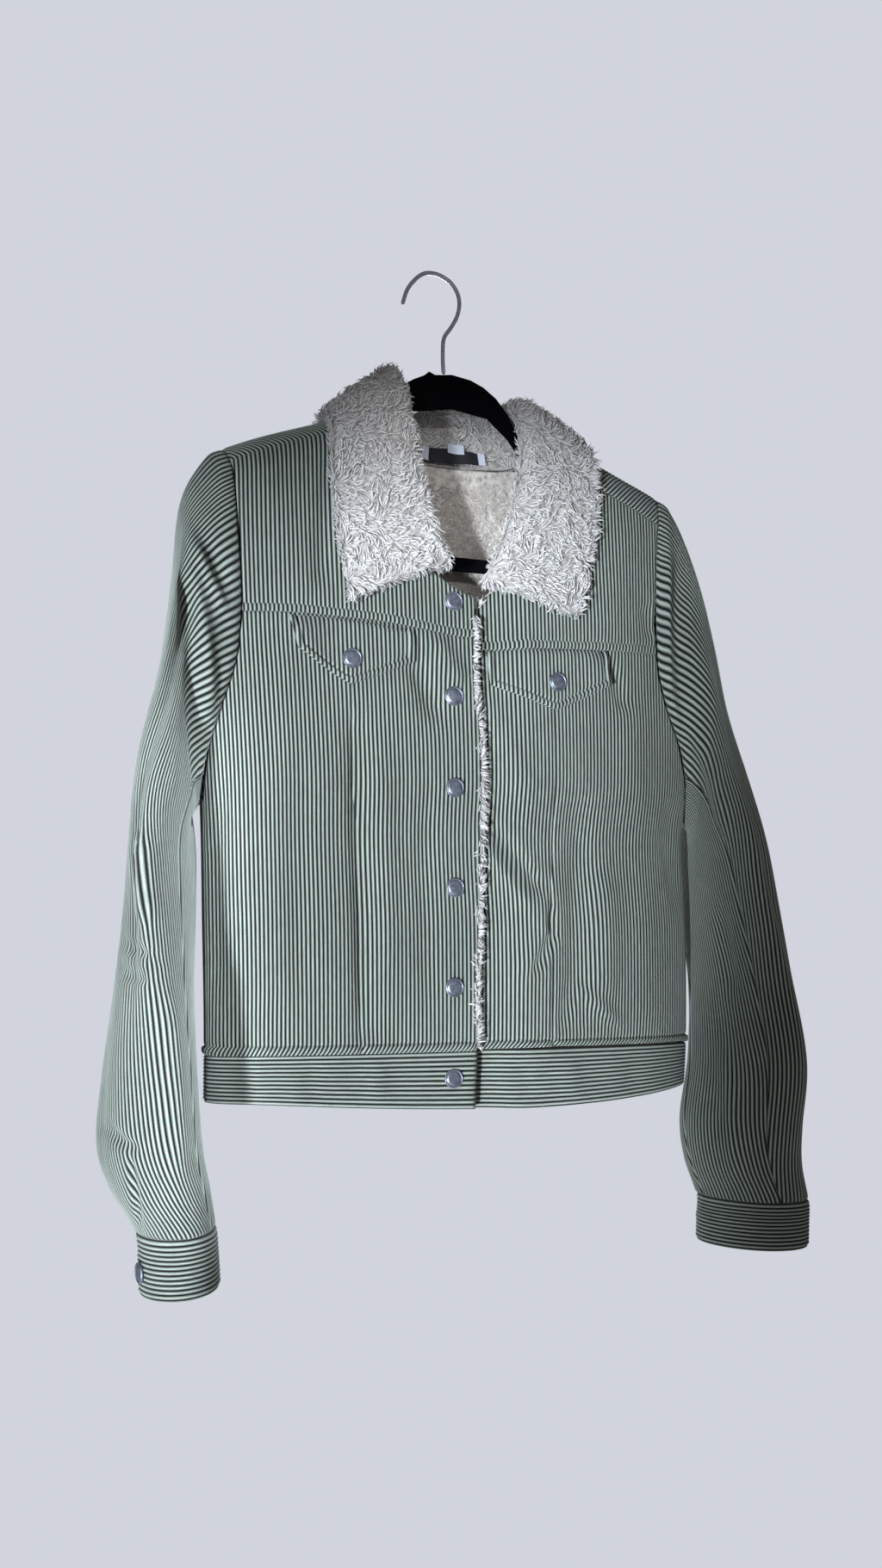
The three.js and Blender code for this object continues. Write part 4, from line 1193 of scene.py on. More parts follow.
# Sleeves: rings of an outer and an inner rail, the first one shaped to the armhole
def armhole_shift(side, angle):
    """What brings a sleeve's first ring onto its armhole."""
    out_x, out_z, in_x, in_z, _, depth, _ = SLEEVES[side][0]
    z = mix(in_z, out_z, (1 + np.cos(angle)) / 2)
    x = armhole_x(side, np.minimum(z, out_z - 0.2))
    turn, reach = chart(x, np.minimum(z, ridge_z(x)))
    front, behind = body_point("over", turn, reach), body_point("back", turn, reach)
    seat_y = np.where(np.sin(angle) < 0, front[..., 1], behind[..., 1])
    away = -0.5 if side == "right" else 0.5
    return np.stack([
        x + away - mix(in_x, out_x, (1 + np.cos(angle)) / 2),
        seat_y - depth * np.sin(angle),
        np.zeros_like(x),
    ], -1)


def ring_point(side, row, angle, lift=0.0):
    """A place on a sleeve, by ring and angle."""
    row, angle = np.broadcast_arrays(np.asarray(row, float), np.asarray(angle, float))
    out_x, out_z, in_x, in_z, mid_y, depth, yaw = np.moveaxis(sample(SLEEVES[side], row), -1, 0)
    across = np.stack([out_x - in_x, np.zeros_like(out_x), out_z - in_z], -1)
    wrapped = (np.degrees(angle) + 540) % 360 - 180
    freedom = smooth(row / 2.5)
    rise = freedom * fold_rise(SLEEVE_FOLDS[side], row, wrapped, 12.0)
    half = np.linalg.norm(across, axis=-1) / 2 + lift + rise
    across = unit(across)
    turn = -np.radians(yaw)
    c, s = np.cos(turn), np.sin(turn)
    across = np.stack([across[..., 0] * c, across[..., 0] * s, across[..., 2]], -1)
    swing = np.stack([-s, c, np.zeros_like(c)], -1)
    point = np.stack([(out_x + in_x) / 2, mid_y, (out_z + in_z) / 2], -1)
    point = point + across * (half * np.cos(angle))[..., None]
    point = point + swing * ((depth + lift + rise) * np.sin(angle))[..., None]
    return point + armhole_shift(side, angle) * (1 - freedom)[..., None]


def ring_normal(side, row, angle, lift=0.0):
    """The way out of a sleeve."""
    e, r = 0.01, 0.02
    across = ring_point(side, row, angle + e, lift) - ring_point(side, row, angle - e, lift)
    low = np.maximum(row - r, 0)
    along = ring_point(side, row + r, angle, lift) - ring_point(side, low, angle, lift)
    normal = unit(np.cross(across, along))
    centre = (ring_point(side, row, angle) + ring_point(side, row, angle + math.pi)) / 2
    outward = ((ring_point(side, row, angle) - centre) * normal).sum(-1, keepdims=True)
    return normal * np.where(outward < 0, -1.0, 1.0)


def sleeve(name, side, from_angle, to_angle, seat_angle):
    """A sleeve piece: wales run down the arm and the seams cut them off."""
    row = np.linspace(0, CUFF_ROW - 0.008, 150)
    fine = np.radians(np.linspace(from_angle, to_angle, 361))
    along = girths(side, row, fine, math.radians(seat_angle))
    full = np.argmin(np.abs(row - CAP_ROWS))
    first, last = along[full:, 0].min() - CAP_SLANT, along[full:, -1].max() + CAP_SLANT
    wales = columns_between(first, last)[None]
    straight = cap_places(row, along, full, wales)
    place = np.clip(straight, along[:, :1], along[:, -1:])
    wale = wales + place - straight
    angle = np.stack([np.interp(w, a, fine) for w, a in zip(place, along)])
    rows = row[:, None] + np.zeros_like(angle)
    base = ring_point(side, rows, angle)
    normals = ring_normal(side, rows, angle)
    spine = np.linalg.norm(np.diff(base[:, base.shape[1] // 2], axis=0), axis=1)
    down = np.concatenate([[0], np.cumsum(spine)])[:, None] + np.zeros_like(angle)
    edge = nearest(place - along[:, :1], along[:, -1:] - place, down, down[-1:] - down)
    ease = 1.2 * hump(down - 9, 6) * (np.sin(angle) < 0.5)
    rise = cord_rise(wale, edge, base, normals, WAVES_OF_SLEEVES, ease, CORD_AT_SEAM)
    uv = np.stack([wale, down], -1) * MM
    return cut_piece(name, base, normals, rise, uv, SLEEVE_TURN_IN)


def girths(side, row, fine, seat):
    """How far round its ring each fine angle lies, counted from the seat."""
    rings = ring_point(side, row[:, None], fine[None])
    along = np.cumsum(np.linalg.norm(np.diff(rings, axis=1), axis=-1), axis=1)
    along = np.concatenate([np.zeros((len(row), 1)), along], 1)
    start = np.array([np.interp(seat, fine, a) for a in along])
    return along - start[:, None]


def cap_places(row, along, full, wales):
    """Over the cap the wales spread to the long armhole seam and meet it at a slant."""
    girth = np.where(wales < 0, -along[:, :1], along[:, -1:])
    height = np.clip(1 - row / CAP_ROWS, 0, 1)[:, None]
    spread = girth / girth[full]
    slant = -np.sign(wales) * CAP_SLANT * np.clip(2 * spread[0] - 2, 0, 1)
    slant = slant * smooth(np.abs(wales) / CAP_SLANT_WIDTH) * height
    return wales * np.where(height > 0, spread, 1.0) + slant


def cuff(name, side):
    """A cuff laps over its own end, and its wales run round it."""
    low, high = CUFF_ROW + 0.008, len(SLEEVES[side]) - 1
    share = np.linspace(0, 1, 110)[:, None]
    angle = np.radians(CUFF_LAP[side] + share * (360 + CUFF_LAP_ARC))
    down = columns_between(0.0, CUFF_HEIGHT)[None]
    rows, angles = np.broadcast_arrays(mix(low, high, down / CUFF_HEIGHT), angle)
    tucked = -(BAND_CLOTH + 0.5) * (1 - smooth(share * 5)) + CUFF_LIFT
    base = ring_point(side, rows, angles)
    normals = ring_normal(side, rows, angles)
    girth = np.linalg.norm(np.diff(base[:, 0], axis=0), axis=-1).sum()
    edge = nearest(down, CUFF_HEIGHT - down, np.minimum(share, 1 - share) * girth)
    rise = cord_rise(down, edge, base, normals, WAVES_OF_PANELS, tucked)
    uv = np.stack(np.broadcast_arrays(down, share * girth), -1) * MM
    return cut_piece(name, base, normals, rise, uv, BAND_CLOTH)


def sleeve_pieces(side):
    first, last = UNDER_SLEEVE_ARC[side]
    upper = last - 360 + SLEEVE_GAP, first - SLEEVE_GAP, 0
    under = first + SLEEVE_GAP, last - SLEEVE_GAP, (first + last) / 2
    return {
        f"{side}_upper_sleeve": sleeve(f"{side}_sleeve_cloth", side, *upper),
        f"{side}_under_sleeve": sleeve(f"{side}_under_sleeve_cloth", side, *under),
        f"{side}_cuff": cuff(f"{side}_cuff_cloth", side),
    }


for side in ("right", "left"):
    for node, (piece, size) in sleeve_pieces(side).items():
        keep(piece, [node])


# Linings: plain ground here, tufts below
LINING_LIFT = -LINING_DEPTH - FRONT_LINING_GAP
for side in ("right", "left"):
    name, face = f"{side}_lining_ground", f"{FRONTS[side]}_lining"
    piece, size = panel(
        name, face, lining_edges(side), LINING_LIFT, material=SHERPA, turn_in=LINING_TURN_IN
    )
    keep(piece, [f"{side}_front_lining"])
edges = back_edges(BACK_LINING_GROWTH)
piece, size = panel(
    "back_lining_ground", "back_lining", edges, LINING_LIFT, material=LINING, turn_in=LINING_TURN_IN
)
keep(piece, ["back_lining"])


# Collar: a sheet from the neckline up over its fold to the outer edge
def neck_points():
    """The places along the neckline where the collar is sewn on."""
    lift = -COLLAR_WALL / 2
    rows = []
    for side in ("right", "back", "left"):
        for value in COLLAR_NECK[side]:
            if side == "back":
                reach = float(sample(BACK_NECK, value, 0)[1])
                rows.append(body_point("back", x_place(value, reach), reach, lift))
            else:
                x = float(sample(NECKLINE[side], value, 1)[0])
                turn, reach = chart(x, value)
                rows.append(body_point(FRONTS[side], turn, reach, lift))
    return np.array(rows)


NECK_POINTS = neck_points()


LAST_STATION = len(COLLAR) - 1
COLLAR_STOPS = np.array([0, 0.26, 0.4, 0.54, 0.78, 1.0])


def fold_row(station):
    return sample(COLLAR, np.clip(station, 0, LAST_STATION))


def collar_point(station, share):
    """A place on the collar: along it by station, and from the neck over the fold to the edge by share."""
    station, share = np.broadcast_arrays(np.asarray(station, float), np.asarray(share, float))
    row = fold_row(station)
    fold = row[..., :3]
    edge = body_point("back", x_place(row[..., 3], row[..., 4]), row[..., 4], COLLAR_WALL / 2 + 2)
    neck = sample(NECK_POINTS, station)
    neck = neck + unit(fold - neck) * COLLAR_SEAM
    way = unit(fold_row(station + 0.5)[..., :3] - fold_row(station - 0.5)[..., :3])
    fall = edge - fold
    up = unit(np.cross(way, fall))
    fall_way = unit(fall)
    stand = np.linalg.norm(neck - fold, axis=-1, keepdims=True)
    stops = np.stack([
        neck,
        mix(fold, neck, np.minimum(7 / stand, 0.5)),
        fold - 2.5 * fall_way + up * COLLAR_LIFT / 2,
        fold + 5 * fall_way + up * COLLAR_LIFT,
        mix(fold, edge, 0.5) + up * COLLAR_LIFT * 0.8,
        edge,
    ], -2)
    return sample_stops(stops, COLLAR_STOPS, share)


def collar_frame(s, v):
    """The collar's middle surface and the way out of it."""
    before, after = np.maximum(s - COLLAR_STEP, 0), np.minimum(s + COLLAR_STEP, LAST_STATION)
    above, below = np.maximum(v - COLLAR_STEP, 0), np.minimum(v + COLLAR_STEP, 1)
    across = collar_point(after, v) - collar_point(before, v)
    along = collar_point(s, below) - collar_point(s, above)
    return collar_point(s, v), unit(np.cross(across, along))


def grid_of(stations, shares):
    """Two even ranges, each given as first, last and count, as a grid."""
    return np.meshgrid(np.linspace(*stations), np.linspace(*shares), indexing="ij")


def pick(values, number):
    """One stop of each point's own list of stops."""
    return np.take_along_axis(values, number[..., None, None], -2)[..., 0, :]


def sample_stops(stops, keys, at):
    """Smooth places along stops that differ from point to point."""
    slopes = slopes_of(stops, keys)
    i, span, t = span_at(keys, at)
    return between((pick(stops, i), pick(stops, i + 1)), (pick(slopes, i), pick(slopes, i + 1)), span, t)


def lumps(points, scale, height, seed):
    """Uneven clumps of the pile's ground."""
    random = np.random.default_rng(seed)
    ways = unit(random.normal(size=(24, 3))) * random.uniform(0.5, 1.6, (24, 1)) * 2 * math.pi / scale
    waves = np.sin(points @ ways.T + random.uniform(0, 2 * math.pi, 24))
    return height * waves.mean(-1) * 2.4


def collar_shell():
    """The collar's closed body, thinner at its neck seam."""
    half = COLLAR_WALL / 2
    s, v = grid_of((0, LAST_STATION, 230), (0, 1, 46))
    surface, normal = collar_frame(s, v)
    taper = (0.5 + 0.5 * smooth(4 * v)) * np.sqrt(np.clip(1 - smooth((v - 0.9) * 10) * 0.5, 0, 1))
    rough = lumps(surface, 16, 0.8, 3) + lumps(surface, 7, 0.5, 8)
    outer = surface + normal * (half * taper + rough * smooth(v * 5))[..., None]
    inner = surface - normal * (half * taper)[..., None]
    loop = np.concatenate([outer, inner[:, ::-1], outer[:, :1]], 1)
    places = np.arange(loop.shape[1])
    uv = np.stack(np.broadcast_arrays(s[:, :1] * 0.035, places[None] * 0.0025), -1)
    middle = surface.mean(1, keepdims=True)
    shell = grid_object("collar_ground", loop, uv, loop - middle, SHERPA)
    reworked(shell.data, merge_close, fill_holes, face_outwards)
    return shell, cut_size(surface)


collar, collar_size = collar_shell()
keep(collar, ["collar"])


# Tufts of the pile
TUFT_RINGS = [
    # x, z, radius
    (0.0, 0.0, 0.10), (0.09, 0.42, 0.095), (0.34, 0.80, 0.06),
]
TUFT_TIP = (0.62, 0.0, 1.0)
TUFT_SIDES = 3


def tuft(name, material):
    """One curved lock with its tip bent over, a unit long."""
    places = []
    for x, z, radius in TUFT_RINGS:
        for k in range(TUFT_SIDES):
            a = 2 * math.pi * k / TUFT_SIDES
            places.append((x + radius * math.cos(a), radius * math.sin(a), z))
    places.append(TUFT_TIP)
    faces = []
    for here, after in ((0, TUFT_SIDES), (TUFT_SIDES, 2 * TUFT_SIDES)):
        for k in range(TUFT_SIDES):
            n = (k + 1) % TUFT_SIDES
            faces.append((here + k, here + n, after + n, after + k))
    last = 2 * TUFT_SIDES
    faces += [(last + k, last + (k + 1) % TUFT_SIDES, len(places) - 1) for k in range(TUFT_SIDES)]
    mesh = bpy.data.meshes.new(name)
    mesh.from_pydata(places, [], faces)
    layer = mesh.uv_layers.new(name="cut")
    for loop in mesh.loops:
        layer.data[loop.index].uv = (0.5, places[loop.vertex_index][2])
    mesh.materials.append(material)
    mesh.shade_smooth()
    return bpy.data.objects.new(name, mesh)


class Maker:
    """A Geometry Nodes tree with named inputs."""

    def __init__(self, name):
        self.tree = bpy.data.node_groups.new(name, "GeometryNodeTree")
        self.tree.is_modifier = True
        self.interface("Geometry", "NodeSocketGeometry")
        self.tree.interface.new_socket("Geometry", in_out="OUTPUT", socket_type="NodeSocketGeometry")
        self.source = self.tree.nodes.new("NodeGroupInput")
        self.result = self.tree.nodes.new("NodeGroupOutput")

    def interface(self, name, kind):
        self.tree.interface.new_socket(name, in_out="INPUT", socket_type=kind)

    def node(self, kind, settings=None, values=None, output=0):
        node = self.tree.nodes.new(kind)
        for name, value in (settings or {}).items():
            setattr(node, name, value)
        for name, value in (values or {}).items():
            socket = node.inputs[name]
            if isinstance(value, bpy.types.NodeSocket):
                self.tree.links.new(value, socket)
            else:
                socket.default_value = value
        return node.outputs[output]

    def value(self, name):
        return self.source.outputs[name]

    def random(self, low, high, seed):
        values = {2: low, 3: high, "Seed": seed}
        return self.node("FunctionNodeRandomValue", {"data_type": "FLOAT"}, values, 1)

    def math(self, operation, first, second):
        return self.node("ShaderNodeMath", {"operation": operation}, {0: first, 1: second})

    def finish(self, geometry):
        self.tree.links.new(geometry, self.result.inputs[0])

    def apply(self, piece, name, inputs, material):
        """The tree's result on a piece, as a plain mesh of its own."""
        modifier = piece.modifiers.new(name, "NODES")
        modifier.node_group = self.tree
        sockets = {s.name: s.identifier for s in self.tree.interface.items_tree if s.in_out == "INPUT"}
        for key, value in inputs.items():
            modifier[sockets[key]] = value
        scene_now = bpy.context.evaluated_depsgraph_get()
        mesh = bpy.data.meshes.new_from_object(piece.evaluated_get(scene_now))
        piece.modifiers.remove(modifier)
        mesh.name = name
        rename_uv(mesh)
        mesh.materials.clear()
        mesh.materials.append(material)
        result = bpy.data.objects.new(name, mesh)
        bpy.context.scene.collection.objects.link(result)
        return result


def rename_uv(mesh):
    """A realised lock's cut place becomes a UV map again where it was kept as an attribute."""
    if mesh.uv_layers:
        mesh.uv_layers[0].name = "cut"
        return
    kept = mesh.attributes.get("cut")
    if kept is None:
        return
    values = np.zeros(len(mesh.loops) * 2, np.float32)
    kept.data.foreach_get("vector", values)
    mesh.attributes.remove(kept)
    mesh.uv_layers.new(name="cut").data.foreach_set("uv", values)


PILE_INPUTS = {
    "Density": "Float", "Length": "Float", "Width": "Float", "Least lean": "Float",
    "Most lean": "Float", "Wave size": "Float", "Seed": "Int", "Lock": "Object",
    "Material": "Material",
}


def pile_maker():
    """Locks spread over a surface, leaning in waves as brushed pile does."""
    m = Maker("pile")
    for name, kind in PILE_INPUTS.items():
        m.interface(name, f"NodeSocket{kind}")
    scatter = m.tree.nodes.new("GeometryNodeDistributePointsOnFaces")
    for name, source in (("Mesh", "Geometry"), ("Density", "Density"), ("Seed", "Seed")):
        m.tree.links.new(m.value(source), scatter.inputs[name])
    place = m.node("GeometryNodeInputPosition")
    waves = {"Vector": place, "Scale": m.value("Wave size"), "Detail": 2.0}
    swirl = m.node("ShaderNodeTexNoise", None, waves)
    turn = m.math("ADD", m.math("MULTIPLY", swirl, 4 * math.pi), m.random(-0.7, 0.7, 3))
    lean = m.random(m.value("Least lean"), m.value("Most lean"), 5)
    angles = m.node("ShaderNodeCombineXYZ", None, {1: lean, 2: turn})
    bent = m.node("FunctionNodeEulerToRotation", None, {0: angles})
    facing = m.node(
        "FunctionNodeRotateRotation", {"rotation_space": "LOCAL"},
        {0: scatter.outputs["Rotation"], 1: bent},
    )
    size = m.random(0.6, 1.25, 9)
    length = m.math("MULTIPLY", m.value("Length"), size)
    width = m.math("MULTIPLY", m.value("Width"), size)
    scale = m.node("ShaderNodeCombineXYZ", None, {0: length, 1: width, 2: length})
    lock = m.node("GeometryNodeObjectInfo", None, {0: m.value("Lock")}, 4)
    copies = m.node(
        "GeometryNodeInstanceOnPoints", None,
        {"Points": scatter.outputs["Points"], "Instance": lock, "Rotation": facing, "Scale": scale},
    )
    real = m.node("GeometryNodeRealizeInstances", None, {0: copies})
    m.finish(m.node("GeometryNodeSetMaterial", None, {0: real, 2: m.value("Material")}))
    return m


PILE = pile_maker()


PILE_WAVE = 46.0
LOCK_WIDTH = 1.05


def pile_on(base, name, material, density, length, lean, seed):
    """Locks grown on a base that itself isn't kept."""
    lock = tuft(f"{name}_lock", material)
    bpy.context.scene.collection.objects.link(lock)
    locks = PILE.apply(base, name, {
        "Density": density, "Length": length * MM, "Width": length * MM * LOCK_WIDTH,
        "Least lean": lean[0], "Most lean": lean[1], "Wave size": PILE_WAVE, "Seed": seed,
        "Lock": lock, "Material": material,
    }, material)
    bpy.data.objects.remove(lock)
    bpy.data.objects.remove(base)
    return locks


def pile_base(name, points, normals, ground):
    uv = np.zeros(points.shape[:2] + (2,))
    return grid_object(f"{name}_ground", points, uv, normals, ground)


PILE_INSET = 1.2


def collar_side(name, stations, shares, sign_out):
    """A side of the collar that locks grow from."""
    s, v = grid_of(stations, shares)
    surface, normal = collar_frame(s, v)
    taper = 0.5 + 0.5 * smooth(4 * v)
    points = surface + normal * (sign_out * (COLLAR_WALL / 2 * taper - PILE_INSET))[..., None]
    return pile_base(name, points, normal * sign_out, SHERPA)


COLLAR_PILES = {
    # name: stations, shares, side, density, length, lean, seed
    "collar_right_pile": ((0, 5.5, 90), (0.05, 1.0, 40), 1, 330000, 7.0, (0.45, 1.2), 11),
    "collar_nape_pile": ((5.5, 11, 60), (0.05, 1.0, 40), 1, 300000, 6.5, (0.45, 1.2), 13),
    "collar_left_pile": ((11, LAST_STATION, 90), (0.05, 1.0, 40), 1, 330000, 7.0, (0.45, 1.2), 14),
    "collar_under_pile": ((0, LAST_STATION, 120), (0.5, 1.0, 20), -1, 60000, 5.0, (0.6, 1.3), 12),
}
for name, (stations, shares, way, density, length, lean, seed) in COLLAR_PILES.items():
    ground = collar_side(name, stations, shares, way)
    keep(pile_on(ground, name, SHERPA_PILE, density, length, lean, seed))


def sherpa_strip(name, points, normals, density, length, lean, seed):
    base = pile_base(name, points, np.broadcast_to(normals, points.shape), SHERPA)
    keep(pile_on(base, name, SHERPA_PILE, density, length, lean, seed))


def collar_edge():
    """Round the outer edge from tip to tip, as points across its thickness and their way out."""
    tip = np.linspace(0.12, 1, 40)
    edge = np.linspace(0, LAST_STATION, 300)
    stations = np.concatenate([np.zeros(len(tip)), edge, np.full(len(tip), LAST_STATION)])
    shares = np.concatenate([tip, np.ones(len(edge)), tip[::-1]])
    way_out = np.concatenate([
        collar_point(0, tip) - collar_point(0.2, tip),
        collar_point(edge, 1.0) - collar_point(edge, 0.95),
        collar_point(LAST_STATION, tip[::-1]) - collar_point(LAST_STATION - 0.2, tip[::-1]),
    ])
    middle = collar_point(stations, shares)
    way = unit(np.gradient(middle, axis=0))
    across = unit(np.cross(way, way_out)) * COLLAR_WALL * 0.45
    points = np.stack([middle + across * k for k in (-1, 0, 1)], 1)
    return points, np.repeat(unit(way_out)[:, None], 3, 1)


sherpa_strip("collar_edge_pile", *collar_edge(), 420000, 5.5, (0.2, 1.2), 31)


# The lining's pile where it shows in the neck and down the front's edge
def neck_lining(lift):
    """The part of the back lining that shows in the neck."""
    x, z = grid_of((-78, 94, 60), (-158, -300, 50))
    turn, reach = chart(x, z)
    face = "back_lining"
    return body_point(face, turn, reach, lift), -body_normal(face, turn, reach, lift)


name = "back_lining_pile"
base = pile_base(name, *neck_lining(-LINING_DEPTH - 4.2), LINING)
keep(pile_on(base, name, LINING_PILE, 240000, 3.6, (0.5, 1.2), 21))


def placket_edge(from_z, to_z):
    """The strip just behind the overlapping front's edge, facing outwards past it."""
    z = np.linspace(from_z, to_z, 200)
    edge_x = sample(OVERLAP_EDGE, z, 1)[:, 0]
    strips = []
    for inside, depth in ((1.4, -2.2), (-0.6, -2.4), (-1.8, -3.6), (-1.8, -7.5)):
        strips.append(body_point("over_lining", *chart(edge_x - inside, z), depth))
    return np.array(strips)


def corner_edge():
    """The under front's top corner, where the lining's pile comes over the neckline."""
    x = np.linspace(14, 25, 24)
    top = sample(NECKLINE["left"], x, 0)[:, 1]
    drops = (0.3, 2.0, 3.8, 5.5)
    return np.array([body_point("under", *chart(x, top - drop), 1.4) for drop in drops])


sherpa_strip("placket_pile", placket_edge(-274, -608), (0.9, -0.4, 0.0), 650000, 6.2, (0.0, 1.0), 23)
sherpa_strip("corner_pile", corner_edge(), (-0.2, -0.8, 0.5), 450000, 4.6, (0.2, 1.1), 27)


# Snaps turned from sheet metal: a foot, a rolled rim and a faintly dished cap
SNAP_PROFILE = [
    # radius, height
    (0.0, 0.0), (6.6, 0.0), (7.1, 0.25), (7.45, 0.8), (7.5, 1.35), (7.3, 1.9), (6.9, 2.25),
    (6.5, 2.35), (6.25, 2.2), (6.05, 1.75), (5.8, 1.7), (5.6, 2.1), (4.0, 2.25), (2.0, 2.3),
    (0.0, 2.32),
]
SNAP_SIDES = 48


def snap_frame(middle, around, outward):
    """A snap's foot stands clear of the cloth's highest point under it."""
    a, b, c, d = around
    normal = unit(np.cross(a - b, c - d))
    if normal @ outward < 0:
        normal = -normal
    high = max(max((p - middle) @ normal for p in around), 0)
    across = unit(a - b)
    return middle + normal * (high + SNAP_CLEARANCE), across, np.cross(normal, across), normal


def snap_piece(name, middle, around, outward, node):
    foot, across, up, normal = snap_frame(middle, around, outward)
    radius, height = np.array(SNAP_PROFILE).T
    angle = np.linspace(0, 2 * math.pi, SNAP_SIDES, endpoint=False)
    ring = across * np.cos(angle)[:, None] + up * np.sin(angle)[:, None]
    points = foot + ring[:, None] * radius[None, :, None] + normal * height[None, :, None]
    faces = grid_faces(*points.shape[:2], wrap=True)
    piece = new_object(name, points.reshape(-1, 3), faces, None, SNAP)
    reworked(piece.data, face_outwards)
    keep(piece, [node])


AROUND = ((1, 0), (-1, 0), (0, 1), (0, -1))


def snap_on_body(name, node, face, x, z, lift):
    """A snap on a front, at its x and z."""
    def at(i, k):
        return body_point(face, *chart(x + i * SNAP_RADIUS, z + k * SNAP_RADIUS), lift)
    snap_piece(name, at(0, 0), [at(*step) for step in AROUND], np.array([0, -1.0, 0]), node)


def snap_on_cuff(side):
    """A snap on a cuff, at its ring and angle."""
    row, degrees = CUFF_SNAPS[side]

    def at(i, k):
        angle = math.radians(degrees + i * 12)
        return ring_point(side, row + k * SNAP_RADIUS / 20, angle, CUFF_LIFT)
    far = ring_point(side, row, math.radians(degrees + 180))
    around = [at(*step) for step in AROUND]
    snap_piece(f"{side}_cuff_cap", at(0, 0), around, at(0, 0) - far, f"{side}_cuff_snap")


for number, z in enumerate(FRONT_SNAPS_Z, 1):
    snap_on_body(f"front_cap_{number}", f"front_snap_{number}", "over", FRONT_SNAP_X, z, 0)
for side in ("right", "left"):
    snap_on_body(f"{side}_flap_cap", f"{side}_flap_snap", FRONTS[side], *FLAP_SNAPS[side], FLAP_LIFT)
    snap_on_cuff(side)


# The plain woven label on the collar's stand, its ends turned under and a loop of tape over it
def label_part(name, stations, shares, lift, material):
    s, v = grid_of((*stations, 24), (*shares, 6))
    surface, normal = collar_frame(s, v)
    sag = 0.7 * np.sin(s * 9.0)
    points = surface + normal * (COLLAR_WALL / 2 + lift + sag)[..., None]
    uv = np.stack([s * 0.03, v * 0.06], -1)
    return grid_object(name, points, uv, normal, material)


LABEL_SHARES = (0.005, 0.075)
LABEL_PARTS = {
    # name: stations, shares, lift, finish, nodes
    "label_band": ((7.3, 9.0), LABEL_SHARES, 3.4, LABEL, ["neck_label"]),
    "label_end_right": ((7.2, 7.4), LABEL_SHARES, 3.7, TAPE, []),
    "label_end_left": ((8.9, 9.1), LABEL_SHARES, 3.7, TAPE, []),
    "label_tab": ((7.95, 8.45), (0.055, 0.105), 4.3, TAPE, []),
}
for name, (stations, shares, lift, finish, nodes) in LABEL_PARTS.items():
    keep(label_part(name, stations, shares, lift, finish), nodes)


# The hook's drawn wire
def wire(route, radius, steps, sides):
    """Rings along a bent wire, closed at both ends."""
    at = sample(route, np.linspace(0, len(route) - 1, steps))
    middle = np.stack([at[:, 0], np.zeros(steps), at[:, 1]], -1)
    way = unit(np.gradient(middle, axis=0))
    side_way = np.array([0, 1.0, 0])
    up = np.cross(way, side_way)
    angle = np.linspace(0, 2 * math.pi, sides, endpoint=False)
    ring = up[:, None] * np.cos(angle)[None, :, None] + side_way * np.sin(angle)[None, :, None]
    ends = np.ones(steps)
    ends[[0, -1]] = 0.0
    ends[[1, -2]] = 0.75
    return middle[:, None] + ring * (radius * ends)[:, None, None]


rings = wire(HOOK_ROUTE, WIRE_RADIUS, 140, 16)
faces = grid_faces(rings.shape[1], rings.shape[0], wrap=True)
hook = new_object("hook_wire", rings.transpose(1, 0, 2).reshape(-1, 3), faces, None, WIRE)
reworked(hook.data, face_outwards)
keep(hook, ["hook"])


# Camera, light and stage
SENSOR = 36.0
FLOOR_RADIUS = 0.9
FLOOR_HEIGHT = -1.55
BACKDROP = linear(209, 212, 221)
FLOOR_TONE = linear(205, 207, 213)
WINDOW_LIGHT = (0.77, 0.86, 1.0)
ROOM_LIGHT = (0.92, 0.95, 1.0)
NECK_LIGHT = (0.88, 0.92, 1.0)
LIGHTS = {
    # name: place, aim, size, power, colour, spread in degrees
    "window": ((-1.14, -1.30, -1.02), (-0.075, -0.03, -0.535), (0.41, 0.68), 2.1, WINDOW_LIGHT, 7),
    "room": ((-0.3, -2.0, -0.5), (0.0, 0.0, -0.4), (1.4, 1.4), 3.2, ROOM_LIGHT, 180),
    "side": ((0.0, -1.70, -0.64), (-0.205, -0.04, -0.545), (0.08, 0.36), 0.26, WINDOW_LIGHT, 5),
    "back": ((0.35, 2.0, -0.30), (0.0, 0.0, -0.42), (1.2, 1.2), 42.0, ROOM_LIGHT, 180),
    "neck": ((-0.38, -1.15, -0.02), (0.02, 0.04, -0.185), (0.10, 0.13), 0.020, NECK_LIGHT, 6),
}


def add_camera():
    """The photograph's view."""
    data = bpy.data.cameras.new("camera")
    data.sensor_width = SENSOR
    data.lens = SENSOR * PHOTO_FOCAL / PHOTO_HEIGHT
    data.shift_y = (PHOTO_CENTRE[1] - PHOTO_HEIGHT / 2) / PHOTO_HEIGHT
    data.clip_end = 20
    camera = bpy.data.objects.new("camera", data)
    camera.location = EYE * MM
    camera.rotation_euler = (math.pi / 2, 0, -YAW)
    bpy.context.scene.collection.objects.link(camera)
    bpy.context.scene.camera = camera


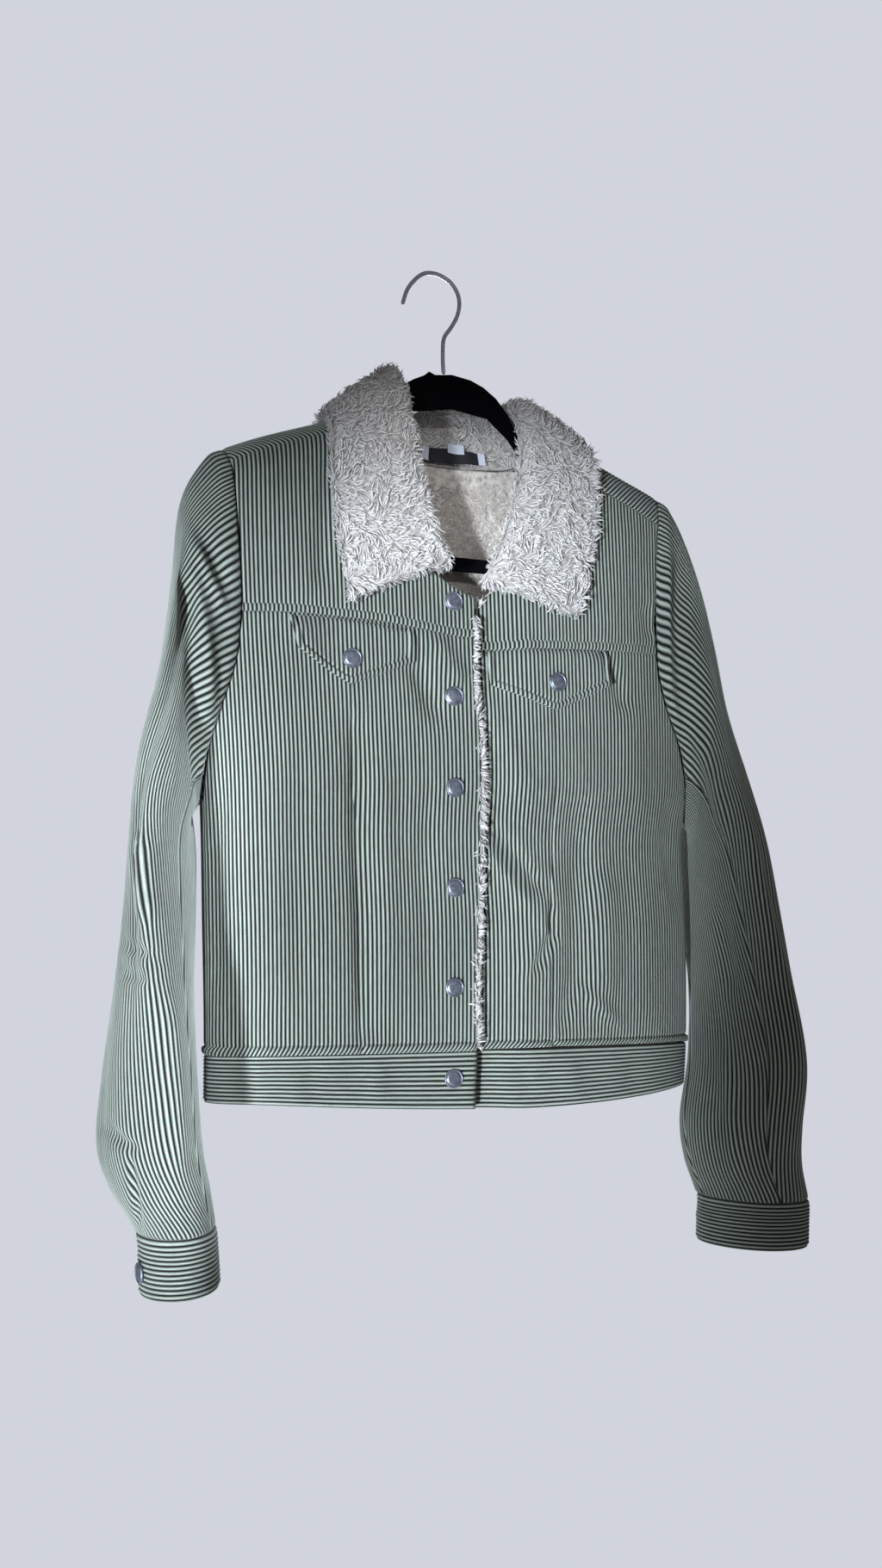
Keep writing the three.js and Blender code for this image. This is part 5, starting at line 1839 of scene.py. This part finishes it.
def add_light(name, place, aim, size, power, colour, spread):
    """A soft box; a narrow spread keeps its light to a patch of its own shape, as a window does."""
    data = bpy.data.lights.new(name, "AREA")
    data.shape = "RECTANGLE"
    data.size, data.size_y = size
    data.energy = power
    data.color = colour
    data.spread = math.radians(spread)
    light = bpy.data.objects.new(name, data)
    light.location = place
    light.rotation_mode = "QUATERNION"
    light.rotation_quaternion = (Vector(aim) - Vector(place)).to_track_quat("-Z", "Y")
    bpy.context.scene.collection.objects.link(light)


def set_world():
    """A pale backdrop for the camera and a weak soft light from all around."""
    world = bpy.data.worlds.new("studio")
    bpy.context.scene.world = world
    world.use_nodes = True
    nodes, links = world.node_tree.nodes, world.node_tree.links
    nodes.clear()
    path = nodes.new("ShaderNodeLightPath")
    seen = nodes.new("ShaderNodeBackground")
    seen.inputs[0].default_value = BACKDROP
    soft = nodes.new("ShaderNodeBackground")
    soft.inputs[0].default_value = (0.90, 0.92, 1.0, 1.0)
    soft.inputs[1].default_value = 0.16
    choice = nodes.new("ShaderNodeMixShader")
    out = nodes.new("ShaderNodeOutputWorld")
    links.new(path.outputs["Is Camera Ray"], choice.inputs[0])
    links.new(soft.outputs[0], choice.inputs[1])
    links.new(seen.outputs[0], choice.inputs[2])
    links.new(choice.outputs[0], out.inputs[0])


def add_floor():
    """A plain round floor well under the hem."""
    work = bmesh.new()
    bmesh.ops.create_circle(work, cap_ends=True, segments=64, radius=FLOOR_RADIUS)
    mesh = bpy.data.meshes.new("floor")
    work.to_mesh(mesh)
    work.free()
    f = Finish("floor")
    tone = f.noise(f.place(), 3.0, 2.0)
    f.set(
        Base_Color=f.ramp(tone, [(0.3, FLOOR_TONE), (0.7, linear(211, 213, 219))]),
        Roughness=0.9,
        Emission_Color=FLOOR_TONE,
        Emission_Strength=0.62,
    )
    mesh.materials.append(f.material)
    floor = bpy.data.objects.new("floor", mesh)
    floor.location = (0, 0, FLOOR_HEIGHT)
    bpy.context.scene.collection.objects.link(floor)


add_camera()
set_world()
add_floor()
for name, values in LIGHTS.items():
    add_light(name, *values)
bpy.context.scene.view_settings.view_transform = "Standard"

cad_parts["hanger"].data.materials.clear()
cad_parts["hanger"].data.materials.append(HANGER)
